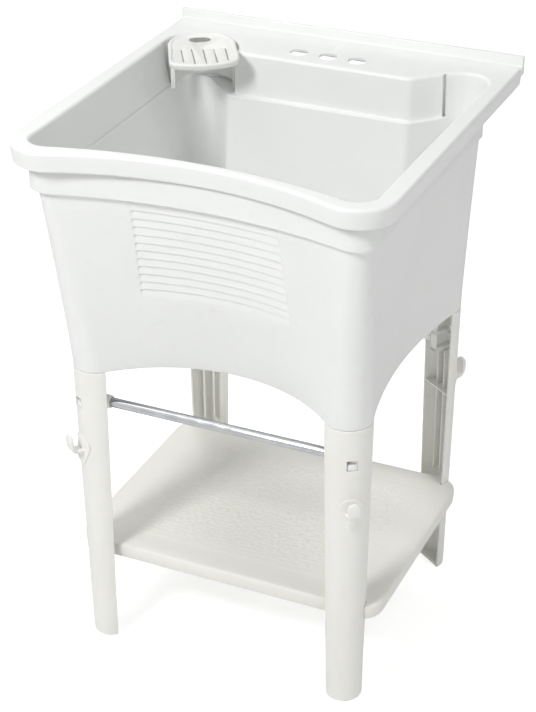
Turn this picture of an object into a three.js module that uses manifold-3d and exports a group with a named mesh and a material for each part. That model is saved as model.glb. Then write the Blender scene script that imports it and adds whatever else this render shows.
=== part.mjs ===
// Utility laundry sink: a one-piece moulded tub on four channel legs, with a slotted shelf,
// a towel bar, hooks, a lift-out soap dish and a waste fitting under the bowl.
// Millimetres, +Z up, X to the right and Y to the back seen from the front.
// The origin is on the floor, below the middle of the rim.
import * as THREE from 'three';
import { mergeVertices } from 'three/addons/utils/BufferGeometryUtils.js';
import Module from 'manifold-3d';

const wasm = await Module();
wasm.setup();

// ---------- driving dimensions ----------

const GAP = 0.3; // between touching pieces
const WALL = 4; // moulded wall thickness

const RIM = { halfWidth: 305, halfDepth: 312, top: 921, lip: 32, cornerR: 62, cornerY: 250, dip: 265 };
const SPLASH = { height: 17, thick: 8.3 };
const FAUCET = { pitch: 50.8, y: 225, r: 15 };

// the tub's wall at three heights: front corner columns, depth of the hollow front,
// turn of the side at the columns, back corner columns, the flat middle of the back and
// the degrees that the back wall turns at each corner pocket
const LEDGE = { z: 843, rise: 5 };
const SKIRT_Z = 522;
const WALL_BOTTOM = {
  frontX: 215, frontY: 200, frontR: 38.5, dip: 152, turn: 14,
  backX: 215, backY: 200, backR: 38.5, recess: 154, pocketTurn: 70,
};
const WALL_LEDGE = {
  frontX: 242, frontY: 248, frontR: 26, dip: 241, turn: 1,
  backX: 232, backY: 201, backR: 38, recess: 178, pocketTurn: 45,
};
const WALL_BAND = {
  frontX: 243, frontY: 250, frontR: 36, dip: 251.5, turn: 0.5,
  backX: 236, backY: 201, backR: 47, recess: 187, pocketTurn: 45,
};
const FLARE_POWER = 1.15; // the columns stay upright near the legs and open out above
const RECESS_FILLET = 12;

const FLOOR = { z: 574, fall: 8 };
const DRAIN = { x: 0, y: 30, seatZ: 562, holeR: 22.6, recessR: 34 };
const GROOVE = { width: 6.5, depth: 5, x: 200, y: 227, turn: 42, mouth: 6, boss: 3 };
const SIDE_GROOVE = { width: 15, x: 280, y: 186 };

const LEG = {
  x: 215, y: 200, height: SKIRT_Z - 0.4, topR: 39, footR: 30.4, wall: 3.5,
  fromDeg: -30, toDeg: 138, face: 57, footPlate: 4.5, webZ: 361,
};
const FIN = { offset: 8.7, tip: 12.3, foot: 190, head: 434 };
const RIB = 3; // thickness of webs, fins and ribs
const WINDOW = { z: 460, width: 17.4, height: 19 };
const TONGUE = {
  width: 13.2, foot: 436, back: -7, front: 31, linerR: 34.6, linerZ: 500, catchZ: 451.5, catchR: 36.4,
};
const BAR = { y: 210, z: 460, r: 8, halfLength: 200.4 };
const SOCKET = { r: 11, bore: 8.4, mouth: -28, floor: -14, end: -11 };
const HOOK = {
  padTop: 401, padBottom: 344, padR: 20.5, tipR: 8, padThick: 2.6, width: 20, top: 405,
  stemZ: 361, stemHeight: 15.2, stemWidth: 11.2,
};

const SHELF = {
  halfWidth: 269.5, halfDepth: 207, top: 181, height: 25, cornerR: 40, plate: 5, margin: 46,
  ribX: [-225, -135, -45, 45, 135, 225], ribY: [-120, -40, 40, 120],
};
const DISH = {
  x: -207.1, y: 185.7, turn: -60, plate: 6, rim: 4, edge: 3.5, sunk: 1.4, floor: 2.2, lip: 4,
};
const DISH_HOLE = { x: -22, y: -3, r: 13.5, reach: 4.8 };
const DISH_SLOTS = { count: 6, pitch: 18, first: -54, from: 23, to: 90, outerTo: 78, width: 3 };
const DISH_SKIRT = {
  r: 52.5, wall: 3, z: 856.5, fromDeg: 75, toDeg: 258, legR: 54.5, legFrom: 47, heelDeg: 14,
};
const DISH_RECESS = { r: 59, floorZ: 849 };

const COLOURS = {
  tub: { color: 0xf1f2ef, roughness: 0.38, metalness: 0 },
  leg: { color: 0xefede2, roughness: 0.45, metalness: 0 },
  shelf: { color: 0xedebe0, roughness: 0.5, metalness: 0 },
  dish: { color: 0xf2f2ee, roughness: 0.4, metalness: 0 },
  chrome: { color: 0xd9dadc, roughness: 0.12, metalness: 1 },
  drain: { color: 0xf4f4f2, roughness: 0.4, metalness: 0 },
  rubber: { color: 0x2b2b2d, roughness: 0.8, metalness: 0 },
};

// ---------- geometry helpers ----------

const rad = THREE.MathUtils.degToRad;
const at = (x, y) => new THREE.Vector2(x, y);

function arc(x, y, r, fromDeg, toDeg, steps) {
  const points = [];
  for (let i = 0; i <= steps; i++) {
    const a = rad(fromDeg + ((toDeg - fromDeg) * i) / steps);
    points.push(at(x + r * Math.cos(a), y + r * Math.sin(a)));
  }
  return points;
}

// A closed geometry with shared vertices, no empty triangles and its faces pointing out.
function closed(geometry) {
  const bare = new THREE.BufferGeometry();
  bare.setAttribute('position', geometry.getAttribute('position').clone());
  if (geometry.index) bare.setIndex(geometry.index.clone());
  const merged = mergeVertices(bare, 1e-4);
  const position = merged.getAttribute('position');
  const source = merged.index.array;
  const kept = [];
  let volume = 0;
  const a = new THREE.Vector3();
  const b = new THREE.Vector3();
  const c = new THREE.Vector3();
  for (let i = 0; i < source.length; i += 3) {
    const [p, q, r] = [source[i], source[i + 1], source[i + 2]];
    if (p === q || q === r || r === p) continue;
    kept.push(p, q, r);
    a.fromBufferAttribute(position, p);
    b.fromBufferAttribute(position, q);
    c.fromBufferAttribute(position, r);
    volume += a.dot(b.cross(c));
  }
  if (volume < 0) kept.reverse();
  merged.setIndex(kept);
  return merged;
}

function toSolid(shape) {
  if (!shape.isBufferGeometry) return shape;
  const geometry = closed(shape);
  const vertProperties = new Float32Array(geometry.getAttribute('position').array);
  const triVerts = new Uint32Array(geometry.index.array);
  return new wasm.Manifold(new wasm.Mesh({ numProp: 3, vertProperties, triVerts }));
}

function toGeometry(shape) {
  if (shape.isBufferGeometry) return closed(shape);
  const { vertProperties, triVerts } = shape.getMesh();
  const geometry = new THREE.BufferGeometry();
  geometry.setAttribute('position', new THREE.BufferAttribute(Float32Array.from(vertProperties), 3));
  geometry.setIndex(Array.from(triVerts));
  return geometry;
}

const join = (first, ...others) => others.reduce((sum, next) => sum.add(toSolid(next)), toSolid(first));
const cut = (base, ...tools) => tools.reduce((rest, next) => rest.subtract(toSolid(next)), toSolid(base));
const clip = (base, limit) => toSolid(base).intersect(toSolid(limit));

// A solid through closed rings of equal length, each { z, points } counter-clockwise from above.
function loft(rings) {
  const count = rings[0].points.length;
  const vertices = [];
  const index = [];
  rings.forEach(({ z, points }) => points.forEach((p) => vertices.push(p.x, p.y, z)));
  for (let k = 0; k + 1 < rings.length; k++) {
    for (let i = 0; i < count; i++) {
      const a = k * count + i;
      const b = k * count + ((i + 1) % count);
      index.push(a, b, b + count, a, b + count, a + count);
    }
  }
  const cap = (k, upward) => {
    const points = rings[k].points;
    for (const [i, j, m] of THREE.ShapeUtils.triangulateShape(points.slice(), [])) {
      const area = (points[j].x - points[i].x) * (points[m].y - points[i].y)
        - (points[m].x - points[i].x) * (points[j].y - points[i].y);
      const turned = area > 0 === upward ? [i, j, m] : [i, m, j];
      index.push(...turned.map((v) => v + k * count));
    }
  };
  cap(0, false);
  cap(rings.length - 1, true);
  const geometry = new THREE.BufferGeometry();
  geometry.setAttribute('position', new THREE.Float32BufferAttribute(vertices, 3));
  geometry.setIndex(index);
  return geometry;
}

const prism = (points, z0, z1) => loft([{ z: z0, points }, { z: z1, points }]);

function box(x0, x1, y0, y1, z0, z1) {
  const geometry = new THREE.BoxGeometry(x1 - x0, y1 - y0, z1 - z0);
  return geometry.translate((x0 + x1) / 2, (y0 + y1) / 2, (z0 + z1) / 2);
}

// A turned solid about Z from a closed profile of [radius, height] pairs.
function turned(profile, segments = 24) {
  const points = profile.map(([r, z]) => at(r, z));
  const first = profile[0];
  const last = profile[profile.length - 1];
  if (first[0] > 0 || last[0] > 0) points.push(at(first[0], first[1]));
  return closed(new THREE.LatheGeometry(points, segments).rotateX(Math.PI / 2));
}

function disc(r, z0, z1, segments = 24) {
  return turned([[0, z0], [r, z0], [r, z1], [0, z1]], segments);
}

function tube(r, bore, z0, z1, segments = 24) {
  return turned([[bore, z0], [r, z0], [r, z1], [bore, z1]], segments);
}

// Part of a ring round the Z axis.
function sector(bore, r, fromDeg, toDeg, steps, z0, z1) {
  return prism([...arc(0, 0, r, fromDeg, toDeg, steps), ...arc(0, 0, bore, toDeg, fromDeg, steps)], z0, z1);
}

// Moves every point of a closed outline inwards by a distance.
function inset(points, distance) {
  const count = points.length;
  return points.map((p, i) => {
    const before = points[(i + count - 1) % count];
    const after = points[(i + 1) % count];
    const u = p.clone().sub(before).normalize();
    const v = after.clone().sub(p).normalize();
    const normal = at(-u.y - v.y, u.x + v.x).normalize();
    const miter = distance / Math.max(0.4, normal.dot(at(-u.y, u.x)));
    return p.clone().addScaledVector(normal, miter);
  });
}

// The right half of an outline runs from the front middle to the back middle.
function mirroredOutline(half) {
  const left = half.slice(1, -1).reverse().map((p) => at(-p.x, p.y));
  return [...half, ...left];
}

const overDrain = (shape) => toGeometry(shape).translate(DRAIN.x, DRAIN.y, 0);

// Copies a shape made for the back right corner to another corner.
function atCorner(shape, sideX, sideY) {
  const geometry = toGeometry(shape);
  geometry.scale(sideX, sideY, 1);
  return closed(geometry);
}

// ---------- outlines ----------

// A hollow front: an arc through the front middle, tangent to both corner circles.
function hollowFront(cornerX, cornerY, cornerR, dip, steps) {
  const e = dip - cornerY;
  const r = (cornerX ** 2 + e ** 2 - cornerR ** 2) / (2 * (cornerR - e));
  const sweep = THREE.MathUtils.radToDeg(Math.asin(cornerX / (r + cornerR)));
  return { sweep, points: arc(0, -(dip + r), r, 90, 90 - sweep, steps) };
}

// A smooth curve from p to q that leaves and arrives turned away from the Y direction.
function hollowSide(p, q, turnDeg, steps) {
  const length = p.distanceTo(q);
  const leave = at(-Math.sin(rad(turnDeg)), Math.cos(rad(turnDeg))).multiplyScalar(length / 3);
  const arrive = at(Math.sin(rad(turnDeg)), Math.cos(rad(turnDeg))).multiplyScalar(length / 3);
  const curve = new THREE.CubicBezierCurve(p, p.clone().add(leave), q.clone().sub(arrive), q);
  return curve.getPoints(steps).slice(1, -1);
}

function wallOutline(w) {
  const front = hollowFront(w.frontX, w.frontY, w.frontR, w.dip, 6);
  const frontCorner = arc(w.frontX, -w.frontY, w.frontR, -90 - front.sweep, w.turn, 7);
  const backCorner = arc(w.backX, w.backY, w.backR, -w.turn, 90 + w.pocketTurn, 9);
  const side = hollowSide(frontCorner.at(-1), backCorner[0], w.turn, 6);
  // the diagonal wall ends in a fillet that turns it into the flat middle of the back
  const q = backCorner.at(-1);
  const turn = rad(w.pocketTurn);
  const drop = q.y - w.recess - RECESS_FILLET * (1 - Math.cos(turn));
  const flatX = q.x - drop / Math.tan(turn) - RECESS_FILLET * Math.sin(turn);
  const fillet = arc(flatX, w.recess + RECESS_FILLET, RECESS_FILLET, w.pocketTurn - 90, -90, 4);
  const frontHalf = [...front.points.slice(0, -1), ...frontCorner, ...side];
  const half = [...frontHalf, ...backCorner, ...fillet, at(0, w.recess)];
  const lastInPocket = half.indexOf(q);
  const inPocket = mirroredMarks(half.map((p) => backCorner.includes(p)));
  const behind = mirroredMarks(half.map((p, i) => i > lastInPocket));
  return { points: mirroredOutline(half), inPocket, behind };
}

// Marks for the points of the full outline from the marks of its right half.
function mirroredMarks(half) {
  return [...half, ...half.slice(1, -1).reverse()];
}

const mix = THREE.MathUtils.lerp;

// Outer plan of the tub's wall at a height, moved inwards by a distance.
function wallAt(z, inward = 0) {
  if (z > LEDGE.z) return { z, points: inset(bandOutline(z), inward) };
  const t = (z - SKIRT_Z) / (LEDGE.z - SKIRT_Z);
  const flare = Math.sign(t) * Math.abs(t) ** FLARE_POWER;
  const w = {};
  for (const key of Object.keys(WALL_BOTTOM)) {
    const straight = key === 'dip' || key === 'recess';
    w[key] = mix(WALL_BOTTOM[key], WALL_LEDGE[key], straight ? t : flare);
  }
  return { z, points: inset(wallOutline(w).points, inward) };
}

// Above the ledge the wall steps out, apart from the places that slope out evenly: the corner
// pockets on the outside, and everything but the back wall on the inside.
function bandOutline(z, inside = false) {
  const band = wallOutline(WALL_BAND);
  const ledge = wallOutline(WALL_LEDGE).points;
  const slope = (z - LEDGE.z) / (RIM.top - LEDGE.z);
  const slopes = (i) => (inside ? !band.behind[i] : band.inPocket[i]);
  return band.points.map((p, i) => (slopes(i) ? ledge[i].clone().lerp(p, slope) : p));
}

const bandInside = (z, inward) => ({ z, points: inset(bandOutline(z, true), inward) });

function rimOutline(inward, backR = 6) {
  const front = hollowFront(RIM.halfWidth - RIM.cornerR, RIM.cornerY, RIM.cornerR, RIM.dip, 8);
  const corner = arc(RIM.halfWidth - RIM.cornerR, -RIM.cornerY, RIM.cornerR, -90 - front.sweep, 0, 9);
  const back = arc(RIM.halfWidth - backR, RIM.halfDepth - backR, backR, 0, 90, 2);
  const half = [...front.points.slice(0, -1), ...corner, ...back, at(0, RIM.halfDepth)];
  return inset(mirroredOutline(half), inward);
}

// ---------- tub ----------

// Rings that close the wall onto the floor and fall to the drain.
function floorRings(level, radius) {
  const foot = wallAt(FLOOR.z + 6, WALL + radius).points;
  const sump = foot.map((p) => at(mix(p.x, DRAIN.x, 0.86), mix(p.y, DRAIN.y, 0.86)));
  return [{ z: level - FLOOR.fall, points: sump }, { z: level, points: foot }];
}

function bowlSpace() {
  const knee = { z: FLOOR.z + 2, points: wallAt(FLOOR.z + 6, 8).points };
  const below = [...floorRings(FLOOR.z, 14), knee, wallAt(FLOOR.z + 9, WALL)];
  const walls = [660, 750, LEDGE.z].map((z) => wallAt(z, WALL));
  const band = [LEDGE.z + LEDGE.rise, 882, RIM.top - 6].map((z) => bandInside(z, WALL));
  const lip = [bandInside(RIM.top - 2, WALL - 1.2), bandInside(RIM.top + 0.5, WALL - 4.5)];
  return loft([...below, ...walls, ...band, ...lip]);
}

function skirtSpace() {
  const walls = [wallAt(SKIRT_Z - 1, WALL), wallAt(FLOOR.z - 9, WALL)];
  const [sump, foot] = floorRings(FLOOR.z - WALL, 10);
  return loft([...walls, foot, sump]);
}

function outerWall() {
  const heights = [SKIRT_Z, 585, 660, 750, LEDGE.z - 3, LEDGE.z + 2, 882, RIM.top - 2];
  return loft(heights.map((z) => wallAt(z)));
}

function rimShell() {
  const bottom = RIM.top - RIM.lip;
  const outside = loft([
    { z: bottom, points: rimOutline(4) },
    { z: RIM.top - 6, points: rimOutline(0) },
    { z: RIM.top - 2, points: rimOutline(1.2) },
    { z: RIM.top, points: rimOutline(4) },
  ]);
  const inside = loft([
    { z: bottom - 1, points: rimOutline(4 + WALL, 14) },
    { z: RIM.top - WALL, points: rimOutline(WALL + 1.5, 14) },
  ]);
  const splash = loft([
    { z: RIM.top - 6, points: splashOutline(0) },
    { z: RIM.top + SPLASH.height - 2, points: splashOutline(0) },
    { z: RIM.top + SPLASH.height, points: splashOutline(2) },
  ]);
  return join(cut(outside, inside), splash);
}

function splashOutline(inward) {
  const y0 = RIM.halfDepth - SPLASH.thick;
  const corners = [at(-RIM.halfWidth, y0), at(RIM.halfWidth, y0)];
  const back = [at(RIM.halfWidth, RIM.halfDepth), at(-RIM.halfWidth, RIM.halfDepth)];
  return inset([...corners, ...back], inward);
}

// The slanted groove at the mouth of the right pocket and the upright one beside the soap dish;
// grow turns the two spaces into the thick wall round them.
function grooves(grow = 0) {
  const [z0, z1] = grow ? [LEDGE.z + 1, RIM.top - 1] : [LEDGE.z + LEDGE.rise, RIM.top + 1];
  const half = GROOVE.width / 2 + grow;
  const slanted = box(-half, half, grow ? 1 : -GROOVE.mouth, GROOVE.depth + grow, z0, z1);
  slanted.rotateZ(rad(GROOVE.turn)).translate(GROOVE.x, GROOVE.y, 0);
  const reach = SIDE_GROOVE.width / 2 + grow;
  const x0 = WALL_LEDGE.backX + WALL_LEDGE.backR - WALL - (grow ? 0 : GROOVE.mouth);
  const y = SIDE_GROOVE.y;
  const upright = box(x0, SIDE_GROOVE.x + grow, y - reach, y + reach, z0, z1);
  return [slanted, atCorner(upright, -1, 1)];
}

// What reaches down into a leg: a curved liner at its mouth and a tongue with a snap catch.
function legTongue() {
  const from = LEG.fromDeg + 6;
  const to = LEG.toDeg - 6;
  const liner = (r) => [...arc(0, 0, r, from, to, 10), ...arc(0, 0, r - RIB, to, from, 10)];
  const { linerR, linerZ } = TONGUE;
  const mouth = { z: linerZ, points: liner(linerR) };
  const collar = loft([mouth, { z: SKIRT_Z + 12, points: liner(linerR + 0.6) }]);
  const { foot, back, front, catchZ, catchR } = TONGUE;
  const half = TONGUE.width / 2;
  const arm = (x0, x1, z0, z1) => box(x0, x1, -half, half, z0, z1);
  const spine = arm(back, back + 4, foot, FLOOR.z - 2);
  const lowArm = arm(back, front, foot, foot + 7);
  const highArm = arm(back, front - 7, foot + 33, foot + 39);
  const strap = arm(front - RIB, front, foot + 4, foot + 25);
  const catchTab = arm(front - 2, catchR, catchZ, foot + 25);
  const tongue = join(spine, lowArm, highArm, strap, catchTab);
  const turnedTongue = toGeometry(tongue).rotateZ(rad(LEG.face));
  return toGeometry(join(collar, turnedTongue)).translate(LEG.x, LEG.y, 0);
}

// A round recess in the left pocket for the soap dish; grow turns the space into its shell.
function dishRecess(grow = 0) {
  const z1 = grow ? RIM.top - 1 : RIM.top + 9;
  return disc(DISH_RECESS.r + grow, DISH_RECESS.floorZ - grow, z1, 48).translate(DISH.x, DISH.y, 0);
}

function makeTub() {
  let tub = join(rimShell(), outerWall(), ...grooves(GROOVE.boss), dishRecess(WALL));
  tub = cut(tub, bowlSpace(), skirtSpace(), dishRecess());
  const tongue = legTongue();
  for (const [sideX, sideY] of CORNERS) tub = join(tub, atCorner(tongue, sideX, sideY));
  const boss = overDrain(disc(DRAIN.recessR + 6, DRAIN.seatZ - WALL, DRAIN.seatZ + 3));
  const seat = overDrain(disc(DRAIN.recessR, DRAIN.seatZ, FLOOR.z + 5));
  const hole = overDrain(disc(DRAIN.holeR, DRAIN.seatZ - 10, FLOOR.z + 5));
  tub = cut(join(tub, boss), seat, hole, ...grooves());
  for (const step of [-1, 0, 1]) {
    const faucetHole = disc(FAUCET.r, RIM.top - 12, RIM.top + 5);
    tub = cut(tub, faucetHole.translate(step * FAUCET.pitch, FAUCET.y, 0));
  }
  return tub;
}

// ---------- legs, hooks and towel bar ----------

const CORNERS = [[-1, -1], [1, -1], [-1, 1], [1, 1]];
const CORNER_NAMES = ['front_left', 'front_right', 'back_left', 'back_right'];

const legRadius = (z) => mix(LEG.footR, LEG.topR, z / SKIRT_Z);

function channel(z, outer, inner) {
  const { fromDeg, toDeg } = LEG;
  const outside = arc(0, 0, outer, fromDeg, toDeg, 12);
  return { z, points: [...outside, ...arc(0, 0, inner, toDeg, fromDeg, 12)] };
}

function halfDisc(z0, z1) {
  const r = legRadius(z0) - 2.6;
  return prism(arc(0, 0, r, LEG.fromDeg, LEG.toDeg, 12), z0, z1);
}

// Made round its own axis for the back right corner; the channel opens to the front left.
function makeLeg() {
  const ring = (z, shave = 0) => channel(z, legRadius(z) - shave, legRadius(z) - LEG.wall);
  const shell = loft([ring(0, 2.4), ring(2.5, 0.6), ring(6), ring(LEG.height)]);
  const finAt = (z, side) => {
    const reach = legRadius(z) - RIB;
    const s0 = side * FIN.offset - RIB / 2;
    const s1 = side * FIN.offset + RIB / 2;
    return { z, points: [at(FIN.tip, s0), at(reach, s0), at(reach, s1), at(FIN.tip, s1)] };
  };
  const fin = (side) => loft([finAt(FIN.foot, side), finAt(FIN.head, side)]).rotateZ(rad(LEG.face));
  const barY = BAR.y - LEG.y;
  const alongX = (shape) => shape.rotateY(Math.PI / 2).translate(0, barY, BAR.z);
  const socket = alongX(disc(SOCKET.r, SOCKET.mouth, SOCKET.end));
  const socketRib = box(-20, -13, barY + SOCKET.r - 2, 31.5, BAR.z - RIB / 2, BAR.z + RIB / 2);
  const web = halfDisc(LEG.webZ - RIB / 2, LEG.webZ + RIB / 2);
  const body = join(shell, halfDisc(0, LEG.footPlate), web, fin(-1), fin(1), socket, socketRib);
  const bore = alongX(disc(SOCKET.bore, SOCKET.mouth - 2, SOCKET.floor));
  const windowHole = facePort(25, WINDOW.width, WINDOW.height, WINDOW.z);
  const hookHole = facePort(33.2, HOOK.stemWidth + 2 * GAP, HOOK.stemHeight + 2 * GAP, HOOK.stemZ);
  return toGeometry(cut(body, bore, windowHole, hookHole)).translate(LEG.x, LEG.y, 0);
}

// A block through the leg's outer face, from a distance to its axis outwards.
function facePort(from, width, height, z) {
  const port = box(from, 50, -width / 2, width / 2, z - height / 2, z + height / 2);
  return port.rotateZ(rad(LEG.face));
}

// Side view of a hook's arm and tongue as [distance from the leg's axis, height] pairs.
const HOOK_PROFILE = [
  [37.5, 369.5], [46, 369.5], [52, 372], [57, 378], [59.5, 386], [60.5, 396], [59.8, 402], [57.5, HOOK.top],
  [55.5, 402], [55, 395], [53.5, 386.5], [50.5, 379.5], [46, 376], [37.5, 375.5],
];

function makeHook() {
  const bevel = { bevelSize: 1.2, bevelOffset: -1.2, bevelThickness: 2, bevelSegments: 1 };
  const depth = HOOK.width - 2 * bevel.bevelThickness;
  const profile = new THREE.Shape(HOOK_PROFILE.map(([out, z]) => at(out, z)));
  const band = new THREE.ExtrudeGeometry(profile, { depth, ...bevel });
  band.rotateX(Math.PI / 2).translate(0, depth / 2, 0);
  // seen from the front the tongue has a round top
  const round = HOOK.width / 2;
  const foot = [at(-round, HOOK.padBottom), at(round, HOOK.padBottom)];
  const arch = [...foot, ...arc(0, HOOK.top - round, round, 0, 180, 10)];
  const tongue = clip(band, prism(arch, 30, 70).rotateX(Math.PI / 2).rotateZ(Math.PI / 2));
  // the pad's outline is a teardrop with its y as height, tipped upright and run outwards
  const { padR, tipR } = HOOK;
  const low = HOOK.padBottom + tipR;
  const high = HOOK.padTop - padR;
  const lean = THREE.MathUtils.radToDeg(Math.asin((padR - tipR) / (high - low)));
  const head = arc(0, high, padR, -lean, 180 + lean, 12);
  const teardrop = [...head, ...arc(0, low, tipR, 180 + lean, 360 - lean, 5)];
  const plug = prism(teardrop, 30, 45).rotateX(Math.PI / 2).rotateZ(Math.PI / 2);
  const skin = (z, out) => arc(0, 0, legRadius(z) + out, -60, 60, 16);
  const shellRing = (z) => ({ z, points: [...skin(z, HOOK.padThick), ...skin(z, GAP).reverse()] });
  const pad = clip(plug, loft([shellRing(HOOK.padBottom - 5), shellRing(HOOK.padTop + 5)]));
  const halfStem = HOOK.stemWidth / 2;
  const stemRise = HOOK.stemHeight / 2;
  const stem = box(33.9, 39, -halfStem, halfStem, HOOK.stemZ - stemRise, HOOK.stemZ + stemRise);
  const outer = cut(join(pad, tongue), legCore(GAP));
  const whole = toGeometry(join(outer, stem)).rotateZ(rad(LEG.face));
  return whole.translate(LEG.x, LEG.y, 0);
}

// The leg's full round outside, grown by a gap, to trim what sits on it.
function legCore(gap) {
  const ring = (z) => ({ z, points: arc(0, 0, legRadius(z) + gap, -150, 195, 24) });
  return loft([ring(300), ring(450)]);
}

function makeBar() {
  return disc(BAR.r, -BAR.halfLength, BAR.halfLength).rotateY(Math.PI / 2);
}

// ---------- shelf ----------

function shelfOutline(inward) {
  const x = SHELF.halfWidth - inward;
  const y = SHELF.halfDepth - inward;
  const r = Math.max(SHELF.cornerR - inward, 12);
  const corner = (sideX, sideY, from) => arc(sideX * (x - r), sideY * (y - r), r, from, from + 90, 6);
  return [...corner(1, -1, -90), ...corner(1, 1, 0), ...corner(-1, 1, 90), ...corner(-1, -1, 180)];
}

function makeShelf() {
  const { top, height, plate } = SHELF;
  const bottom = top - height;
  const outside = loft([
    { z: bottom, points: shelfOutline(1.5) },
    { z: top - 3, points: shelfOutline(0) },
    { z: top, points: shelfOutline(3) },
  ]);
  const inside = prism(shelfOutline(4.5), bottom - 1, top - plate);
  let shelf = cut(outside, inside);
  const ribLimit = prism(shelfOutline(4), bottom + 4, top - plate + 1);
  const { halfWidth, halfDepth, ribX, ribY } = SHELF;
  const rib = (x0, x1, y0, y1) => clip(box(x0, x1, y0, y1, bottom + 4, top - 2), ribLimit);
  for (const x of ribX) shelf = join(shelf, rib(x - RIB / 2, x + RIB / 2, -halfDepth, halfDepth));
  for (const y of ribY) shelf = join(shelf, rib(-halfWidth, halfWidth, y - RIB / 2, y + RIB / 2));
  const tread = prism(shelfOutline(SHELF.margin), top - 1.5, top + 5);
  shelf = cut(shelf, tread);
  // each leg's wall passes through a curved slot with a lined edge
  const from = LEG.fromDeg - 5;
  const to = LEG.toDeg + 5;
  const outerR = legRadius(top) + 0.6;
  const innerR = legRadius(bottom) - LEG.wall - 0.6;
  const lining = sector(innerR - RIB, outerR + RIB, from - 4, to, 12, bottom, top - 1);
  const slot = sector(innerR, outerR, from, to + 20, 12, bottom - 1, top + 1);
  lining.translate(LEG.x, LEG.y, 0);
  slot.translate(LEG.x, LEG.y, 0);
  const limit = prism(shelfOutline(1.5), bottom, top - 1);
  for (const [sideX, sideY] of CORNERS) {
    shelf = join(shelf, clip(atCorner(lining, sideX, sideY), limit));
    shelf = cut(shelf, atCorner(slot, sideX, sideY));
  }
  return shelf;
}

// ---------- soap dish ----------

// Made with its long axis along +X, then turned towards the bowl.
function dishOutline(inward) {
  const back = arc(0, -1.5, 56, 90, 270, 18);
  const left = arc(80, -45, 15, -90, -25, 5);
  const nose = arc(-3.1, -6.5, 105.6, -22, 22, 6);
  const right = arc(66.9, 27, 28, 26, 90, 6);
  return inset([...back, ...left, ...nose, ...right], inward);
}

function makeSoapDish() {
  const seat = RIM.top + 0.4;
  const top = seat + DISH.plate;
  const plate = loft([
    { z: seat, points: dishOutline(1) },
    { z: top - 2, points: dishOutline(0) },
    { z: top, points: dishOutline(1.5) },
  ]);
  const middle = top - DISH.sunk;
  const under = middle - DISH.floor;
  const hollow = prism(dishOutline(DISH.edge), seat - DISH.lip - 1, under);
  const edge = prism(dishOutline(0.6), seat - DISH.lip, seat + 1);
  const overBowl = box(44, 140, -80, 80, seat - 10, seat + 3);
  const sunk = prism(dishOutline(DISH.rim), middle, top + 5);
  const { r, wall, z, fromDeg, toDeg, legR, legFrom, heelDeg } = DISH_SKIRT;
  const skirt = sector(r - wall, r, fromDeg, toDeg, 20, z, under + 1);
  const leg = sector(legFrom, legR, toDeg - 1, toDeg + 3, 1, LEDGE.z + 4, under + 1);
  const heel = sector(r - wall, r, fromDeg + 2, fromDeg + heelDeg, 2, DISH_RECESS.floorZ + GAP, z + 1);
  let dish = join(cut(join(plate, clip(edge, overBowl)), sunk, hollow), skirt, leg, heel);
  const { x, y, reach } = DISH_HOLE;
  const halfHole = (side, deg) => arc(x, y + side * reach, DISH_HOLE.r, deg, deg + 180, 12);
  dish = cut(dish, prism([...halfHole(1, 0), ...halfHole(-1, 180)], seat - 4, top + 5));
  const { count, pitch, first, from, to, outerTo, width } = DISH_SLOTS;
  for (let i = 0; i < count; i++) {
    const middleY = first + i * pitch;
    const end = i === 0 || i === count - 1 ? outerTo : to;
    dish = cut(dish, box(from, end, middleY - width / 2, middleY + width / 2, seat - 2, top + 5));
  }
  return toGeometry(dish).rotateZ(rad(DISH.turn)).translate(DISH.x, DISH.y, 0);
}

// ---------- waste fitting ----------

const WASTE = {
  flangeR: 31, bodyR: 22, bodyBore: 19, bodyEnd: 514, tailR: 19, tailBore: 17.5, tailEnd: 420,
};

function makeDrainBody() {
  const seat = DRAIN.seatZ + GAP;
  const { flangeR, bodyR, bodyBore, bodyEnd } = WASTE;
  const profile = [
    [bodyBore, bodyEnd], [bodyR, bodyEnd], [bodyR, seat], [flangeR, seat],
    [flangeR, seat + 2], [flangeR - 3, seat + 3.4], [bodyBore + 1, seat + 2.6], [bodyBore, seat + 1],
  ];
  let body = toSolid(turned(profile));
  for (const deg of [0, 90]) {
    const bar = box(-bodyBore - 1, bodyBore + 1, -1.5, 1.5, 536, 541).rotateZ(rad(deg));
    body = join(body, bar);
  }
  return overDrain(body);
}

function makeGasket() {
  return overDrain(tube(32, WASTE.bodyR + GAP, 554.5, DRAIN.seatZ - WALL - GAP));
}

function makeSlipWasher() {
  return overDrain(tube(21.4, WASTE.tailBore + 0.5, 511.5, WASTE.bodyEnd - GAP));
}

function makeLockNut() {
  const hex = prism(arc(0, 0, 34, 0, 300, 5), 543.5, 554.2);
  return overDrain(cut(hex, disc(WASTE.bodyR + GAP, 540, 560)));
}

function makeSlipNut() {
  const { bodyR, tailR } = WASTE;
  const shell = turned([
    [tailR + GAP, 505], [27, 505], [28.5, 509], [28.5, 526], [bodyR + GAP, 526],
    [bodyR + GAP, 509], [tailR + GAP, 509],
  ]);
  const lug = box(26, 31.5, -3, 3, 507, 524);
  let nut = toSolid(shell);
  for (let i = 0; i < 6; i++) nut = join(nut, lug.clone().rotateZ(rad(i * 60)));
  return overDrain(nut);
}

function makeTailpiece() {
  const { tailR, tailBore, tailEnd } = WASTE;
  return overDrain(turned([
    [tailBore, tailEnd], [tailR, tailEnd], [tailR, 509.3], [21.4, 509.3],
    [21.4, 511.2], [tailBore, 511.2],
  ]));
}

function makeStopper() {
  const seat = DRAIN.seatZ + GAP + 3.4 + GAP;
  return overDrain(turned([
    [0, 549], [17, 549], [18.2, seat - 0.5], [18.2, seat], [24, seat], [24, seat + 2.5], [22, seat + 4],
    [6, seat + 4.5], [4, seat + 7], [5, seat + 12], [3.5, seat + 14], [0, seat + 14.5],
  ]));
}

// ---------- assembly ----------

const sink = new THREE.Group();

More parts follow.
